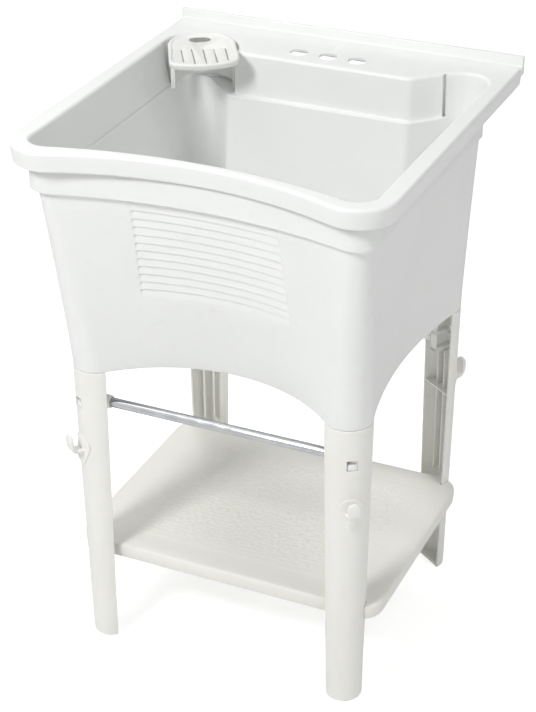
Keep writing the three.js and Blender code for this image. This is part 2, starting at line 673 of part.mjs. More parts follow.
function add(name, shape, finish) {
  const geometry = toGeometry(shape);
  geometry.computeVertexNormals();
  const mesh = new THREE.Mesh(geometry, new THREE.MeshStandardMaterial(finish));
  mesh.name = name;
  sink.add(mesh);
  return mesh;
}

add('tub', makeTub(), COLOURS.tub);

const leg = makeLeg();
const hook = makeHook();
CORNERS.forEach(([sideX, sideY], i) => {
  add(`leg_${CORNER_NAMES[i]}`, atCorner(leg, sideX, sideY), COLOURS.leg);
  add(`hook_${CORNER_NAMES[i]}`, atCorner(hook, sideX, sideY), COLOURS.leg);
});

add('towel_bar', makeBar(), COLOURS.chrome).position.set(0, -BAR.y, BAR.z);
add('shelf', makeShelf(), COLOURS.shelf);
add('soap_dish', makeSoapDish(), COLOURS.dish);

add('drain_body', makeDrainBody(), COLOURS.drain);
add('drain_gasket', makeGasket(), COLOURS.rubber);
add('drain_lock_nut', makeLockNut(), COLOURS.drain);
add('slip_washer', makeSlipWasher(), COLOURS.rubber);
add('slip_nut', makeSlipNut(), COLOURS.drain);
add('tailpiece', makeTailpiece(), COLOURS.drain);
add('stopper', makeStopper(), COLOURS.rubber);

export default sink;
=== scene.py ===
import math

import bmesh
import bpy
import numpy as np
from mathutils import Matrix, Vector


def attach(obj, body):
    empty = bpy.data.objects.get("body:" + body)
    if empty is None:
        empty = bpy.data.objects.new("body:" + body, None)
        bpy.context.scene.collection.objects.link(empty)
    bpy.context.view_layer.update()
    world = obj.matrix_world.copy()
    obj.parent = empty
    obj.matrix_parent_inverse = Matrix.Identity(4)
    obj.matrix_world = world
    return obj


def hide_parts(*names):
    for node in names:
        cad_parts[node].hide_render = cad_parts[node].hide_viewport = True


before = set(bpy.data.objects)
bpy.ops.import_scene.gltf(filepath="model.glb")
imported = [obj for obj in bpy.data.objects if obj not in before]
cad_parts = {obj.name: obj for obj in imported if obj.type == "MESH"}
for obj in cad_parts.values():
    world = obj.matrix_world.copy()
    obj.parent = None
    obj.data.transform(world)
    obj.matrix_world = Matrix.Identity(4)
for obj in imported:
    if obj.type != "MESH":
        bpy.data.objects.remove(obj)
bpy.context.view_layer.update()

# The looks of a moulded laundry sink, in the frame of its solids. Sizes here are in
# millimetres, +Z up, X to the right and Y to the back, and meshes are written in metres.
MM = 0.001
GAP = 0.3  # between touching pieces
WALL = 4.0  # moulded wall thickness

RIM = dict(half_w=305.0, half_d=311.7, top=921.0, lip=32.0, corner_r=62.0, corner_y=249.9, dip=265.0)
SPLASH = dict(height=17.0, thick=8.3, root=906.0, back=312.0)
FAUCET = dict(pitch=50.8, y=225.0, r=15.0)
LEDGE = dict(z=843.0, rise=5.0)
SKIRT_Z = 522.0

# front corner x, y, r; depth of the hollow front; side's turn; back corner x, y, r; flat middle
# of the back; degrees that the back wall turns at each pocket
WALL_KEYS = ("fx", "fy", "fr", "dip", "turn", "bx", "by", "br", "recess", "pocket")
WALL_BOTTOM = np.array([215, 200, 38.5, 152, 14, 215, 200, 38.5, 154, 70], float)
WALL_LEDGE = np.array([242, 248, 26, 241, 1, 232, 201, 38, 178, 45], float)
WALL_BAND = np.array([243, 250, 36, 251.5, 0.5, 236, 201, 47, 187, 45], float)
FLARE_POWER = 1.15
RECESS_FILLET = 12.0
GROOVE = dict(x=200.0, y=227.0, turn=42.0, half=3.2)
SIDE_GROOVE = dict(x=279.5, y=186.0, half=7.5, boss=3.0)

FLOOR = dict(z=574.0, fall=8.0, knee=14.0)
DRAIN = dict(x=0.0, y=30.0, seat=562.0, hole=22.6, recess=34.0)
PANEL = dict(lines=11, first=823.0, pitch=14.6, foot=663.0, depth=3.3, top_x=119.0, foot_x=125.0)

LEG = dict(x=215.0, y=200.0, top_r=39.0, foot_r=30.4, wall=3.5, start=-30.0, end=138.0, face=57.0)
WINDOW = dict(z=460.0, w=17.4, h=19.0)
FIN = dict(offset=8.7, tip=12.3, foot=190.0, head=434.0, thick=3.0)
WEB_Z = 361.0
BAR = dict(y=210.0, z=460.0, r=8.0, half=200.4)
SOCKET = dict(r=11.0, bore=8.4, mouth=-28.0, end=-11.0)
HOOK = dict(
    head=380.5, low=352.0, r=20.5, low_r=8.0, stem_z=361.0, stem_h=15.2, stem_w=11.2,
    width=20.0, strip=6.0, arm_z=372.5, top=405.0,
)
TONGUE = dict(half=6.6, low=436.0, reach=31.0, catch=451.5)
SHELF = dict(
    half_w=269.5, half_d=207.0, top=181.0, height=25.0, corner_r=40.0, plate=5.0, margin=46.0,
)
TREAD = dict(pitch=9.0, height=2.0, mesh=1.35)
DISH = dict(x=-207.1, y=185.7, turn=-60.0, plate=6.0, lip=4.0)
DISH_HOLE = dict(x=-22.0, y=-3.0, r=13.4, reach=4.8)
DISH_SLOTS = [  # from and to, in the dish's own plan
    ((21, -51), (70, -55.5)), ((25, -37), (81, -36)), ((22, -20), (91, -18)),
    ((24.5, -1), (91, 0)), ((26, 16), (91, 18)), ((25, 35.4), (79, 36)),
]
DISH_SKIRT = dict(r=52.5, wall=3.0, z=856.5, start=75.0, end=258.0, leg_r=54.5, leg_from=47.0, heel=14.0)
DISH_RECESS = dict(r=59.0, floor=849.0, edge=4.0)

CORNERS = {
    "front_left": (-1, -1),
    "front_right": (1, -1),
    "back_left": (-1, 1),
    "back_right": (1, 1),
}


# ---------- outlines ----------


def arc(x, y, r, start, end, steps):
    """Points on an arc, both ends included, angles in degrees."""
    a = np.radians(np.linspace(start, end, steps + 1))
    return np.column_stack([x + r * np.cos(a), y + r * np.sin(a)])


def sector(bore, r, start, end, steps):
    """A closed outline between two arcs round the origin."""
    return np.vstack([arc(0, 0, r, start, end, steps), arc(0, 0, bore, end, start, steps)])


def rounded(x, y, r, steps):
    """A rectangle with round corners, given its half sizes."""
    corners = [(1, -1, -90), (1, 1, 0), (-1, 1, 90), (-1, -1, 180)]
    return np.vstack([arc(a * (x - r), b * (y - r), r, t, t + 90, steps) for a, b, t in corners])


def towards(p, q, count, whole):
    """The first points on the way from p to q in a whole number of steps."""
    t = (np.arange(1, count + 1) / whole)[:, None]
    return p + t * (q - p)


def stack(outline, levels):
    """Rings of an outline for each (inward, height)."""
    return [(outline(inward), z) for inward, z in levels]


def above(base, levels):
    """Puts (number, height) pairs that are given from a base at their real heights."""
    return [(number, base + z) for number, z in levels]


def inset(points, distance):
    """Moves a closed outline inwards; distance is one number or one for each point."""
    u = points - np.roll(points, 1, axis=0)
    v = np.roll(points, -1, axis=0) - points
    u /= np.maximum(np.linalg.norm(u, axis=1, keepdims=True), 1e-9)
    v /= np.maximum(np.linalg.norm(v, axis=1, keepdims=True), 1e-9)
    normal = np.column_stack([-u[:, 1] - v[:, 1], u[:, 0] + v[:, 0]])
    normal /= np.maximum(np.linalg.norm(normal, axis=1, keepdims=True), 1e-9)
    share = np.maximum(0.4, -normal[:, 0] * u[:, 1] + normal[:, 1] * u[:, 0])
    return points + normal * (np.asarray(distance) / share)[:, None]


def mirrored(half):
    """Closes the right half of an outline, which runs from the front middle to the back middle."""
    left = half[1:-1][::-1] * np.array([-1.0, 1.0])
    return np.vstack([half, left])


# The front is sampled finely where the ribbed panel ends.
FRONT_STEPS = np.concatenate([
    np.linspace(0, 0.47, 20, endpoint=False),
    np.linspace(0.47, 0.63, 24, endpoint=False),
    np.linspace(0.63, 1, 15),
])
N_CORNER, N_SIDE, N_POCKET, N_DIAGONAL, N_FILLET, N_FLAT = 14, 20, 24, 3, 9, 14
SIDE_SLICE = slice(len(FRONT_STEPS) + N_CORNER, len(FRONT_STEPS) + N_CORNER + N_SIDE)
POCKET_SLICE = slice(SIDE_SLICE.stop, SIDE_SLICE.stop + N_POCKET)


def hollow_front(cx, cy, cr, dip):
    e = dip - cy
    r = (cx**2 + e**2 - cr**2) / (2 * (cr - e))
    sweep = math.asin(cx / (r + cr))
    a = FRONT_STEPS * sweep
    points = np.column_stack([r * np.sin(a), -(dip + r) + r * np.cos(a)])
    return points, math.degrees(sweep)


def hollow_side(p, q, turn):
    """Points between p and q on a curve that leaves and arrives turned away from +Y."""
    a, reach = math.radians(turn), np.linalg.norm(q - p) / 3
    leave = p + reach * np.array([-math.sin(a), math.cos(a)])
    arrive = q - reach * np.array([math.sin(a), math.cos(a)])
    t = (np.arange(1, N_SIDE + 1) / (N_SIDE + 1))[:, None]
    return (1 - t)**3 * p + 3 * t * (1 - t)**2 * leave + 3 * t**2 * (1 - t) * arrive + t**3 * q


def wall_outline(numbers):
    w = dict(zip(WALL_KEYS, numbers))
    front, sweep = hollow_front(w["fx"], w["fy"], w["fr"], w["dip"])
    corner = arc(w["fx"], -w["fy"], w["fr"], -90 - sweep, w["turn"], N_CORNER)
    pocket = arc(w["bx"], w["by"], w["br"], -w["turn"], 90 + w["pocket"], N_POCKET - 1)
    side = hollow_side(corner[-1], pocket[0], w["turn"])
    end = pocket[-1]
    turn = math.radians(w["pocket"])
    drop = end[1] - w["recess"] - RECESS_FILLET * (1 - math.cos(turn))
    flat_x = end[0] - drop / math.tan(turn) - RECESS_FILLET * math.sin(turn)
    fillet = arc(flat_x, w["recess"] + RECESS_FILLET, RECESS_FILLET, w["pocket"] - 90, -90, N_FILLET)
    diagonal = towards(end, fillet[0], N_DIAGONAL, N_DIAGONAL + 1)
    flat = towards(fillet[-1], np.array([0.0, w["recess"]]), N_FLAT, N_FLAT)
    half = np.vstack([front, corner[1:], side, pocket, diagonal, fillet, flat])
    return mirrored(half)


def members(count, part):
    """True for the points of a wall outline in a part of its right half and in its mirror image."""
    half = np.zeros(count // 2 + 1, bool)
    half[part] = True
    return np.concatenate([half, half[1:-1][::-1]])


def lower_wall(z):
    t = (z - SKIRT_Z) / (LEDGE["z"] - SKIRT_Z)
    flare = math.copysign(abs(t)**FLARE_POWER, t)
    shares = np.array([t if key in ("dip", "recess") else flare for key in WALL_KEYS])
    return wall_outline(WALL_BOTTOM + (WALL_LEDGE - WALL_BOTTOM) * shares)


LEDGE_LINE = wall_outline(WALL_LEDGE)
BAND_LINE = wall_outline(WALL_BAND)
POCKETS = members(len(LEDGE_LINE), POCKET_SLICE)
SIDES = members(len(LEDGE_LINE), SIDE_SLICE)
BACK_WALL = members(len(LEDGE_LINE), slice(POCKET_SLICE.stop, None))


def above_ledge(z, stepped, step):
    """The wall above the ledge: some of its points step out, the rest slope out evenly."""
    slope = (z - LEDGE["z"]) / (RIM["top"] - LEDGE["z"])
    share = np.where(stepped, step, slope)[:, None]
    return LEDGE_LINE + (BAND_LINE - LEDGE_LINE) * share


def band(z, step=1.0):
    """The outside of the band, which steps out everywhere but in the pockets."""
    return above_ledge(z, ~POCKETS, step)


def inner_band(z, step=1.0):
    """The inside of the band, where only the back wall steps out."""
    return above_ledge(z, BACK_WALL, step)


def rim_outline(inward, back_r=6.0):
    """The rim seen from above, with one point for each point of the wall's outline."""
    x, y = RIM["half_w"] - inward, RIM["half_d"] - inward
    cx, r = RIM["half_w"] - RIM["corner_r"], RIM["corner_r"] - inward
    front, sweep = hollow_front(cx, RIM["corner_y"], r, RIM["dip"] - inward)
    corner = arc(cx, -RIM["corner_y"], r, -90 - sweep, 0, N_CORNER)
    px, py = WALL_BAND[5], WALL_BAND[6]
    side = towards(corner[-1], np.array([x, py]), N_SIDE, N_SIDE + 1)
    back_r = max(back_r - inward, 1.0)
    centre = np.array([x - back_r, y - back_r])
    pocket = []
    for a in np.radians(np.linspace(0, 90 + WALL_BAND[9], N_POCKET)):
        reach = (y - py) / max(math.sin(a), 1e-9)
        if math.cos(a) > 0:
            reach = min(reach, (x - px) / math.cos(a))
        p = np.array([px + reach * math.cos(a), py + reach * math.sin(a)])
        if (p > centre).all():
            p = centre + back_r * (p - centre) / np.linalg.norm(p - centre)
        pocket.append(p)
    rest = N_DIAGONAL + N_FILLET + 1 + N_FLAT
    back = towards(pocket[-1], np.array([0.0, y]), rest, rest)
    return mirrored(np.vstack([front, corner[1:], side, np.array(pocket), back]))


# ---------- meshes ----------


class Shape:
    """Closed solids gathered into one mesh, in millimetres."""

    def __init__(self):
        self.verts = []
        self.faces = []

    def add(self, verts, faces):
        first = len(self.verts)
        self.verts.extend([tuple(map(float, v)) for v in verts])
        self.faces.extend([tuple(i + first for i in face) for face in faces])
        return self

    def loft(self, rings, closed=False):
        """Joins rings of (points, z) or of 3-D points; closed joins the last ring to the first."""
        solid = [r if isinstance(r, np.ndarray) else with_height(*r) for r in rings]
        n, count = len(solid[0]), len(solid)
        faces = []
        for k in range(count if closed else count - 1):
            a, b = k * n, ((k + 1) % count) * n
            faces += [(a + i, a + (i + 1) % n, b + (i + 1) % n, b + i) for i in range(n)]
        if not closed:
            faces.append(tuple(range(n))[::-1])
            faces.append(tuple(range((count - 1) * n, count * n)))
        return self.add(np.vstack(solid), faces)

    def prism(self, outline, z0, z1):
        return self.loft([(outline, z0), (outline, z1)])

    def box(self, x0, x1, y0, y1, z0, z1):
        return self.prism(np.array([[x0, y0], [x1, y0], [x1, y1], [x0, y1]]), z0, z1)

    def lathe(self, profile, segments=48):
        """Turns a closed profile of (radius, height) about Z."""
        angles = np.radians(np.linspace(0, 360, segments, endpoint=False))
        rings = []
        for r, z in profile:
            rings.append(with_height(np.column_stack([r * np.cos(angles), r * np.sin(angles)]), z))
        return self.loft(rings, closed=True)

    def knob(self, profile, segments=48):
        """Turns an open profile about Z and closes its two ends."""
        angles = np.radians(np.linspace(0, 360, segments, endpoint=False))
        unit = np.column_stack([np.cos(angles), np.sin(angles)])
        return self.loft([(unit * r, z) for r, z in profile])

    def moved(self, function):
        """A copy with every point passed through a function of an (n, 3) array."""
        copy = Shape()
        copy.verts = [tuple(v) for v in function(np.array(self.verts, float))]
        copy.faces = list(self.faces)
        return copy

    def turned(self, degrees):
        c, s = math.cos(math.radians(degrees)), math.sin(math.radians(degrees))
        turn = lambda v: (c * v[:, 0] - s * v[:, 1], s * v[:, 0] + c * v[:, 1], v[:, 2])
        return self.moved(lambda v: np.column_stack(turn(v)))

    def shifted(self, x=0.0, y=0.0, z=0.0):
        return self.moved(lambda v: v + np.array([x, y, z]))

    def at_corner(self, side_x, side_y):
        copy = self.moved(lambda v: v * np.array([side_x, side_y, 1.0]))
        if side_x * side_y < 0:
            copy.faces = [face[::-1] for face in copy.faces]
        return copy

    def at_leg(self, side_x, side_y):
        return self.shifted(LEG["x"], LEG["y"]).at_corner(side_x, side_y)

    def join(self, other):
        return self.add(other.verts, other.faces)


def with_height(points, z):
    return np.column_stack([points, np.full(len(points), float(z))])


def along_x(shape):
    """Turns a shape made along Z so that it runs along X."""
    return shape.moved(lambda v: np.column_stack([v[:, 2], v[:, 1], -v[:, 0]]))


def make_object(name, shape):
    mesh = bpy.data.meshes.new(name)
    mesh.from_pydata((np.array(shape.verts) * MM).tolist(), [], shape.faces)
    bm = bmesh.new()
    bm.from_mesh(mesh)
    bmesh.ops.recalc_face_normals(bm, faces=bm.faces)
    bm.to_mesh(mesh)
    bm.free()
    obj = bpy.data.objects.new(name, mesh)
    bpy.context.scene.collection.objects.link(obj)
    return obj


def apply_modifiers(obj):
    graph = bpy.context.evaluated_depsgraph_get()
    mesh = bpy.data.meshes.new_from_object(obj.evaluated_get(graph))
    obj.modifiers.clear()
    old = obj.data
    obj.data = mesh
    bpy.data.meshes.remove(old)


def combine(obj, tool, operation):
    """Joins, cuts or limits an object by another one, which is used up."""
    change = obj.modifiers.new("combine", "BOOLEAN")
    change.operation = operation
    change.solver = "EXACT"
    change.object = tool
    apply_modifiers(obj)
    bpy.data.objects.remove(tool)


def cut(obj, shape):
    """Takes a shape away from an object."""
    combine(obj, make_object("cutter", shape), "DIFFERENCE")


def soften(obj, width, segments=2, angle=35):
    """Rounds the sharp edges of an object."""
    change = obj.modifiers.new("soften", "BEVEL")
    change.width = width * MM
    change.segments = segments
    change.limit_method = "ANGLE"
    change.angle_limit = math.radians(angle)
    change.use_clamp_overlap = True
    apply_modifiers(obj)


def finish_piece(obj, material, slot, nodes=(), smooth=30, body="root"):
    """Shades a piece, gives it its material, ties it to the frame and hides the solids it shows."""
    mesh = obj.data
    mesh.polygons.foreach_set("use_smooth", [True] * len(mesh.polygons))
    mesh.set_sharp_from_angle(angle=math.radians(smooth))
    mesh.materials.clear()
    mesh.materials.append(material)
    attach(obj, body)
    if nodes:
        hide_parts(*nodes)


def make_piece(name, shape, *looks, **more):
    finish_piece(make_object(name, shape), *looks, **more)


# ---------- materials ----------


def node_material(name):
    """A new material with its tree, its shader and a source of the object's own coordinates."""
    material = bpy.data.materials.new(name)
    material.use_nodes = True
    nodes = material.node_tree.nodes
    return material, material.node_tree, nodes["Principled BSDF"], nodes.new("ShaderNodeTexCoord")


def feed(tree, socket, value):
    """Links an input to a socket or sets it to a value."""
    if hasattr(value, "links"):
        tree.links.new(value, socket)
    else:
        socket.default_value = value


def add_node(tree, kind, **values):
    node = tree.nodes.new("ShaderNode" + kind)
    for name, value in values.items():
        feed(tree, node.inputs[name.replace("_", " ")], value)
    return node


def noise(tree, place, scale, detail=3.0, roughness=0.5):
    where = place.outputs["Object"]
    node = add_node(tree, "TexNoise", Vector=where, Scale=scale, Detail=detail, Roughness=roughness)
    return node.outputs["Fac"]


def ramp(tree, value, low, high, out_low, out_high):
    ends = dict(From_Min=low, From_Max=high, To_Min=out_low, To_Max=out_high)
    return add_node(tree, "MapRange", Value=value, **ends).outputs["Result"]


def blend_colours(tree, share, first, second):
    node = tree.nodes.new("ShaderNodeMix")
    node.data_type = "RGBA"
    for socket, value in ((0, share), (6, first), (7, second)):
        feed(tree, node.inputs[socket], (*value, 1) if isinstance(value, tuple) else value)
    return node.outputs[2]


def bumped(tree, shader, layers):
    """Stacks bumps, each (height socket, strength, distance in metres)."""
    last = None
    for height, strength, distance in layers:
        bump = add_node(tree, "Bump", Strength=strength, Distance=distance, Height=height)
        if last:
            tree.links.new(last, bump.inputs["Normal"])
        last = bump.outputs["Normal"]
    tree.links.new(last, shader.inputs["Normal"])


def plastic(name, colour, tint, rough=0.38, grain=0.25, grain_scale=900.0, edge_highlight=0.5):
    """Moulded plastic: a fine grain, slow waves of shrinkage, slight tint, smudges and painted edge
    highlights.
    """
    material, tree, shader, place = node_material(name)
    clouds = noise(tree, place, 5.0, 2.0)
    smudges = noise(tree, place, 38.0, 5.0, 0.62)
    fine = noise(tree, place, grain_scale, 2.0)
    waves = noise(tree, place, 9.0, 1.0)
    base = blend_colours(tree, ramp(tree, clouds, 0.35, 0.65, 0, 1), colour, tint)
    grime = tuple(c * f for c, f in zip(colour, (0.90, 0.895, 0.87)))
    smudge_share = ramp(tree, smudges, 0.58, 0.80, 0, 0.35)
    base = blend_colours(tree, smudge_share, base, grime)
    # painted highlight: convex edges, found by pointiness, are made lighter
    edges = tree.nodes.new("ShaderNodeNewGeometry").outputs["Pointiness"]
    edge_highlight_share = ramp(tree, edges, 0.52, 0.60, 0, edge_highlight)
    highlight_colour = tuple(min(1.0, c * 1.05) for c in colour)
    base = blend_colours(tree, edge_highlight_share, base, highlight_colour)
    tree.links.new(base, shader.inputs["Base Color"])
    roughness = ramp(tree, smudges, 0.3, 0.8, rough - 0.05, rough + 0.12)
    tree.links.new(roughness, shader.inputs["Roughness"])
    shader.inputs["IOR"].default_value = 1.49
    bumped(tree, shader, [(waves, 0.25, 0.002), (fine, grain, 0.0003)])
    return material


def clouded(name, colours, scale, spread, rough, grain, metallic=0.0):
    """Two colours in fine clouds, which the roughness follows; grain is scale, strength, distance."""
    material, tree, shader, place = node_material(name)
    clouds = noise(tree, place, scale, 4.0)
    marks = noise(tree, place, grain[0], 2.0)
    base = blend_colours(tree, ramp(tree, clouds, *spread, 0, 1), *colours)
    tree.links.new(base, shader.inputs["Base Color"])
    shader.inputs["Metallic"].default_value = metallic
    tree.links.new(ramp(tree, clouds, 0.3, 0.8, *rough), shader.inputs["Roughness"])
    bumped(tree, shader, [(marks, grain[1], grain[2])])
    return material


TUB_WHITE = plastic("tub_white", (0.895, 0.907, 0.893), (0.877, 0.89, 0.876))
LEG_WHITE = plastic("leg_white", (0.905, 0.9, 0.862), (0.885, 0.878, 0.838), rough=0.42)
SHELF_WHITE = plastic("shelf_white", (0.9, 0.892, 0.84), (0.88, 0.87, 0.815), rough=0.5, grain=0.4)
DISH_WHITE = plastic("dish_white", (0.87, 0.875, 0.85), (0.85, 0.85, 0.825), rough=0.4)
DRAIN_WHITE = plastic("drain_white", (0.86, 0.86, 0.85), (0.83, 0.83, 0.82), rough=0.35)
STEEL_GREYS = (0.5, 0.51, 0.525), (0.6, 0.61, 0.62)
CHROME = clouded("polished_chrome", STEEL_GREYS, 60.0, (0.3, 0.7), (0.05, 0.14), (420.0, 0.05, 0.0002), 1.0)
RUBBER_GREYS = (0.02, 0.02, 0.022), (0.06, 0.06, 0.062)
RUBBER = clouded("black_rubber", RUBBER_GREYS, 70.0, (0.4, 0.75), (0.55, 0.8), (700.0, 0.3, 0.0003))


# ---------- tub ----------


def drain_circle(outline, r):
    """A circle round the drain, with one point for each point of an outline."""
    centre = np.array([DRAIN["x"], DRAIN["y"]])
    away = outline - centre
    return centre + r * away / np.linalg.norm(away, axis=1, keepdims=True)


def mix(a, b, share):
    return a + (b - a) * share


def bowl_rings():
    """From the drain hole over the floor and up the inside to the top of the band."""
    foot = inset(lower_wall(FLOOR["z"] + 6), WALL + FLOOR["knee"])
    low = FLOOR["z"] - FLOOR["fall"]
    hole, recess, seat = DRAIN["hole"], DRAIN["recess"], DRAIN["seat"]
    rings = stack(lambda r: drain_circle(foot, r), [
        (hole, seat - WALL), (hole, seat - 0.6), (hole + 0.6, seat), (recess - 1, seat), (recess, seat + 1),
        (recess + 0.4, low - 1.2), (recess + 2, low),
    ])
    sump = drain_circle(foot, recess + 6)
    for share in (0.0, 0.12, 0.28, 0.45, 0.62, 0.8, 0.93, 1.0):
        rings.append((mix(sump, foot, share), low + 0.3 + (FLOOR["fall"] - 0.3) * share))
    for a in np.radians(np.arange(15, 91, 15)):
        z = FLOOR["z"] + 12 * (1 - math.cos(a))
        inward = WALL + FLOOR["knee"] * (1 - math.sin(a))
        rings.append((inset(lower_wall(max(z, FLOOR["z"] + 6)), inward), z))
    rings += [(inset(lower_wall(z), WALL), z) for z in np.arange(600, 841, 20)]
    # a thin groove marks the ledge along both sides, a narrow step along the back
    top = LEDGE["z"] + LEDGE["rise"]
    ledge = [
        (-2.8, 0.0, 0.0), (-2.4, 0.0, 0.8), (-1.9, 0.01, 1.8), (-0.8, 0.04, 2.3), (-0.1, 0.14, 2.3),
        (0.2, 0.35, 2.0), (0.5, 0.7, 1.2), (1.0, 0.9, 0.4), (2.2, 1.0, 0.0),
    ]
    for z, step, groove in ledge:
        rings.append((inset(inner_band(top + z, step), WALL - groove * SIDES), top + z))
    rings += [(inset(inner_band(z), WALL), z) for z in (858, 870, 885, 900, 912)]
    return rings


def rim_rings():
    """Over the rounded inner edge, across the deck, down the lip and back under it."""
    edge = 5.0
    top = RIM["top"]
    quarter = np.radians(np.arange(0, 91, 15))
    rings = []
    for a in quarter:
        z = top - edge + edge * math.sin(a)
        rings.append((inset(inner_band(z), WALL - edge * (1 - math.cos(a))), z))
    inner = rings[-1][0]
    outer = rim_outline(edge)
    rings += [(mix(inner, outer, share), top) for share in (0.05, 0.35, 0.7, 0.95)]
    round_edge = [(edge * (1 - math.sin(a)), edge * math.cos(a)) for a in quarter]
    rings += stack(rim_outline, above(top - edge, round_edge))
    low = top - RIM["lip"]
    lip = [(1.6, 18), (3.4, 4), (3.8, 1.4), (4.6, 0.2), (5.8, 0), (7.2, 0.3), (7.8, 1.4)]
    rings += stack(rim_outline, above(low, lip))
    rings.append((rim_outline(7.2, 12), top - 8))
    shelf = rim_outline(8.5, 12)
    under = inset(band(top - WALL), -3.0)
    rings += [(shelf, top - WALL), (mix(shelf, under, 0.5), top - WALL), (under, top - WALL)]
    return rings


def panel_depth(points, z):
    """How far the ribbed panel's slats are set back at each point of the wall at one height."""
    foot, first, pitch = PANEL["foot"], PANEL["first"], PANEL["pitch"]
    top = LEDGE["z"] - 1.5
    if not foot < z < top:
        return np.zeros(len(points))
    last = first - (PANEL["lines"] - 1) * pitch
    if z > first:
        below, height = top - z, top - first
    elif z > last:
        below, height = (first - z) % pitch, pitch
    else:
        below, height = last - z, last - foot
    profile = PANEL["depth"] * (1 - below / height)
    lip, lip_share = 0.9, 0.12
    if z > last and below > height - lip:
        profile = PANEL["depth"] * lip_share
    half = mix(PANEL["foot_x"], PANEL["top_x"], (z - foot) / (top - foot))
    half = half - 3.5 * (1 - min(1.0, below / 4.0))**2  # each slat's upper corner is round
    inside = np.clip((half - np.abs(points[:, 0])) / 1.6, 0, 1)
    return profile * inside * inside * (3 - 2 * inside) * (points[:, 1] < 0)


def panel_heights():
    """Heights of the rings through the ribbed panel, close together at each slat's lip."""
    top = LEDGE["z"] - 1.5
    lines = [PANEL["first"] - i * PANEL["pitch"] for i in range(PANEL["lines"])]
    heights = [top, top - 0.4, top - 4, top - 8, top - 13]
    for line in lines:
        heights += [line + d for d in (1.0, 0.8, 0, -0.2, -1.8, -4.2, -8, -11.5)]
    return [z for z in heights if z > PANEL["foot"]] + [PANEL["foot"] + 2.5, PANEL["foot"]]


def outer_rings():
    """Down the band, over the step, down the lower wall and up inside the skirt."""
    rings = [(band(z), z) for z in (RIM["top"] - 7, 900, 885, 870, 857, 849)]
    steps = [
        (846.4, 1.0), (845.0, 0.97), (844.3, 0.86), (844.0, 0.6), (843.7, 0.3), (843.3, 0.1), (842.6, 0.02),
    ]
    rings += [(band(z, step), z) for z, step in steps]
    for z in panel_heights():
        wall = lower_wall(z)
        rings.append((inset(wall, panel_depth(wall, z)), z))
    rings += [(lower_wall(z), z) for z in (650, 635, 615, 595, 575, 555, 538, 527)]
    hem = [
        (523.4, 0.1), (522.5, 0.5), (522, 1.3), (522, 2.7), (522.5, 3.5), (523.6, 3.9), (530, WALL),
        (545, WALL), (556, WALL),
    ]
    rings += [(inset(lower_wall(z), inward), z) for z, inward in hem]
    ceiling = FLOOR["z"] - WALL
    foot = inset(lower_wall(ceiling), WALL + 12)
    rings += [(inset(lower_wall(ceiling), WALL + 2), ceiling - 4), (foot, ceiling)]
    collar = drain_circle(foot, DRAIN["recess"] + 8)
    low = ceiling - FLOOR["fall"]
    rings += [(mix(foot, collar, share), mix(ceiling, low, share)) for share in (0.4, 0.8, 1.0)]
    base, recess = DRAIN["seat"] - WALL, DRAIN["recess"]
    return rings + stack(lambda r: drain_circle(foot, r), [(recess + 6, base + 1.5), (recess + 5, base)])


def splash_shape():
    """The raised strip along the back edge, with a small cove where it leaves the deck."""
    y0, y1, half = SPLASH["back"] - SPLASH["thick"], SPLASH["back"], RIM["half_w"]
    top, high = RIM["top"], RIM["top"] + SPLASH["height"]
    cove_r, crest_r = 4, 2.2
    cove = arc(y0 - cove_r, top + cove_r, cove_r, -90, 0, 5)
    crest_front = arc(y0 + 2.4, high - crest_r, crest_r, 180, 90, 4)
    crest_back = arc(y1 - crest_r, high - crest_r, crest_r, 90, 0, 4)
    root = np.array([[y1, SPLASH["root"]], [y0 - 6, SPLASH["root"]], [y0 - 6, top - 0.4]])
    profile = np.vstack([cove, crest_front, crest_back, root])[::-1]
    centre = np.array([(y0 + y1) / 2, top])
    rings = []
    ends = [(half, 1.6), (half - 0.8, 0.4), (half - 2, 0)]
    for x, shrink in [(-x, shrink) for x, shrink in ends] + ends[::-1]:
        pulled = profile + np.clip(centre - profile, -shrink, shrink)
        rings.append(np.column_stack([np.full(len(pulled), float(x)), pulled]))
    return Shape().loft(rings)


def at_groove(shape):
    """Places a shape at the slanted groove across the right pocket's corner."""
    return shape.turned(GROOVE["turn"]).shifted(GROOVE["x"], GROOVE["y"])


def at_side_groove(x0, x1, half, z0, z1):
    """A box at the upright groove, which is beside the dish, on the left only."""
    y = SIDE_GROOVE["y"]
    return Shape().box(x0, x1, y - half, y + half, z0, z1).at_corner(-1, 1)


def groove_cutters():
    z0, z1 = LEDGE["z"] + 6, RIM["top"] - 1.5
    half, deep = GROOVE["half"], SIDE_GROOVE["x"]
    cutters = at_groove(Shape().box(-half, half, -8, 5, z0, z1))
    return cutters.join(at_side_groove(deep - 17.5, deep, SIDE_GROOVE["half"], z0, z1))


def groove_bosses():
    """The thick wall behind the grooves, which stands out of the wall's outside."""
    z0, z1 = LEDGE["z"] + 1, RIM["top"] - 3
    half, deep, boss = 2 * GROOVE["half"], SIDE_GROOVE["x"], SIDE_GROOVE["boss"]
    bosses = at_groove(Shape().box(-half, half, 1, 8, z0, z1))
    return bosses.join(at_side_groove(deep - 8.5, deep + 3.5, SIDE_GROOVE["half"] + boss, z0, z1))


def groove_bead():
    """A rounded bead along the inner edge of the slanted groove."""
    z0, z1 = LEDGE["z"] + 4, RIM["top"] - 3
    rod = lambda r: arc(-5.2, 0.2, r, 0, 345, 23)
    levels = [(1.2, z0), (2.9, z0 + 1.5), (2.4, z0 + 6), (1.9, z1 - 2), (1.0, z1)]
    return at_groove(Shape().loft(stack(rod, levels)))


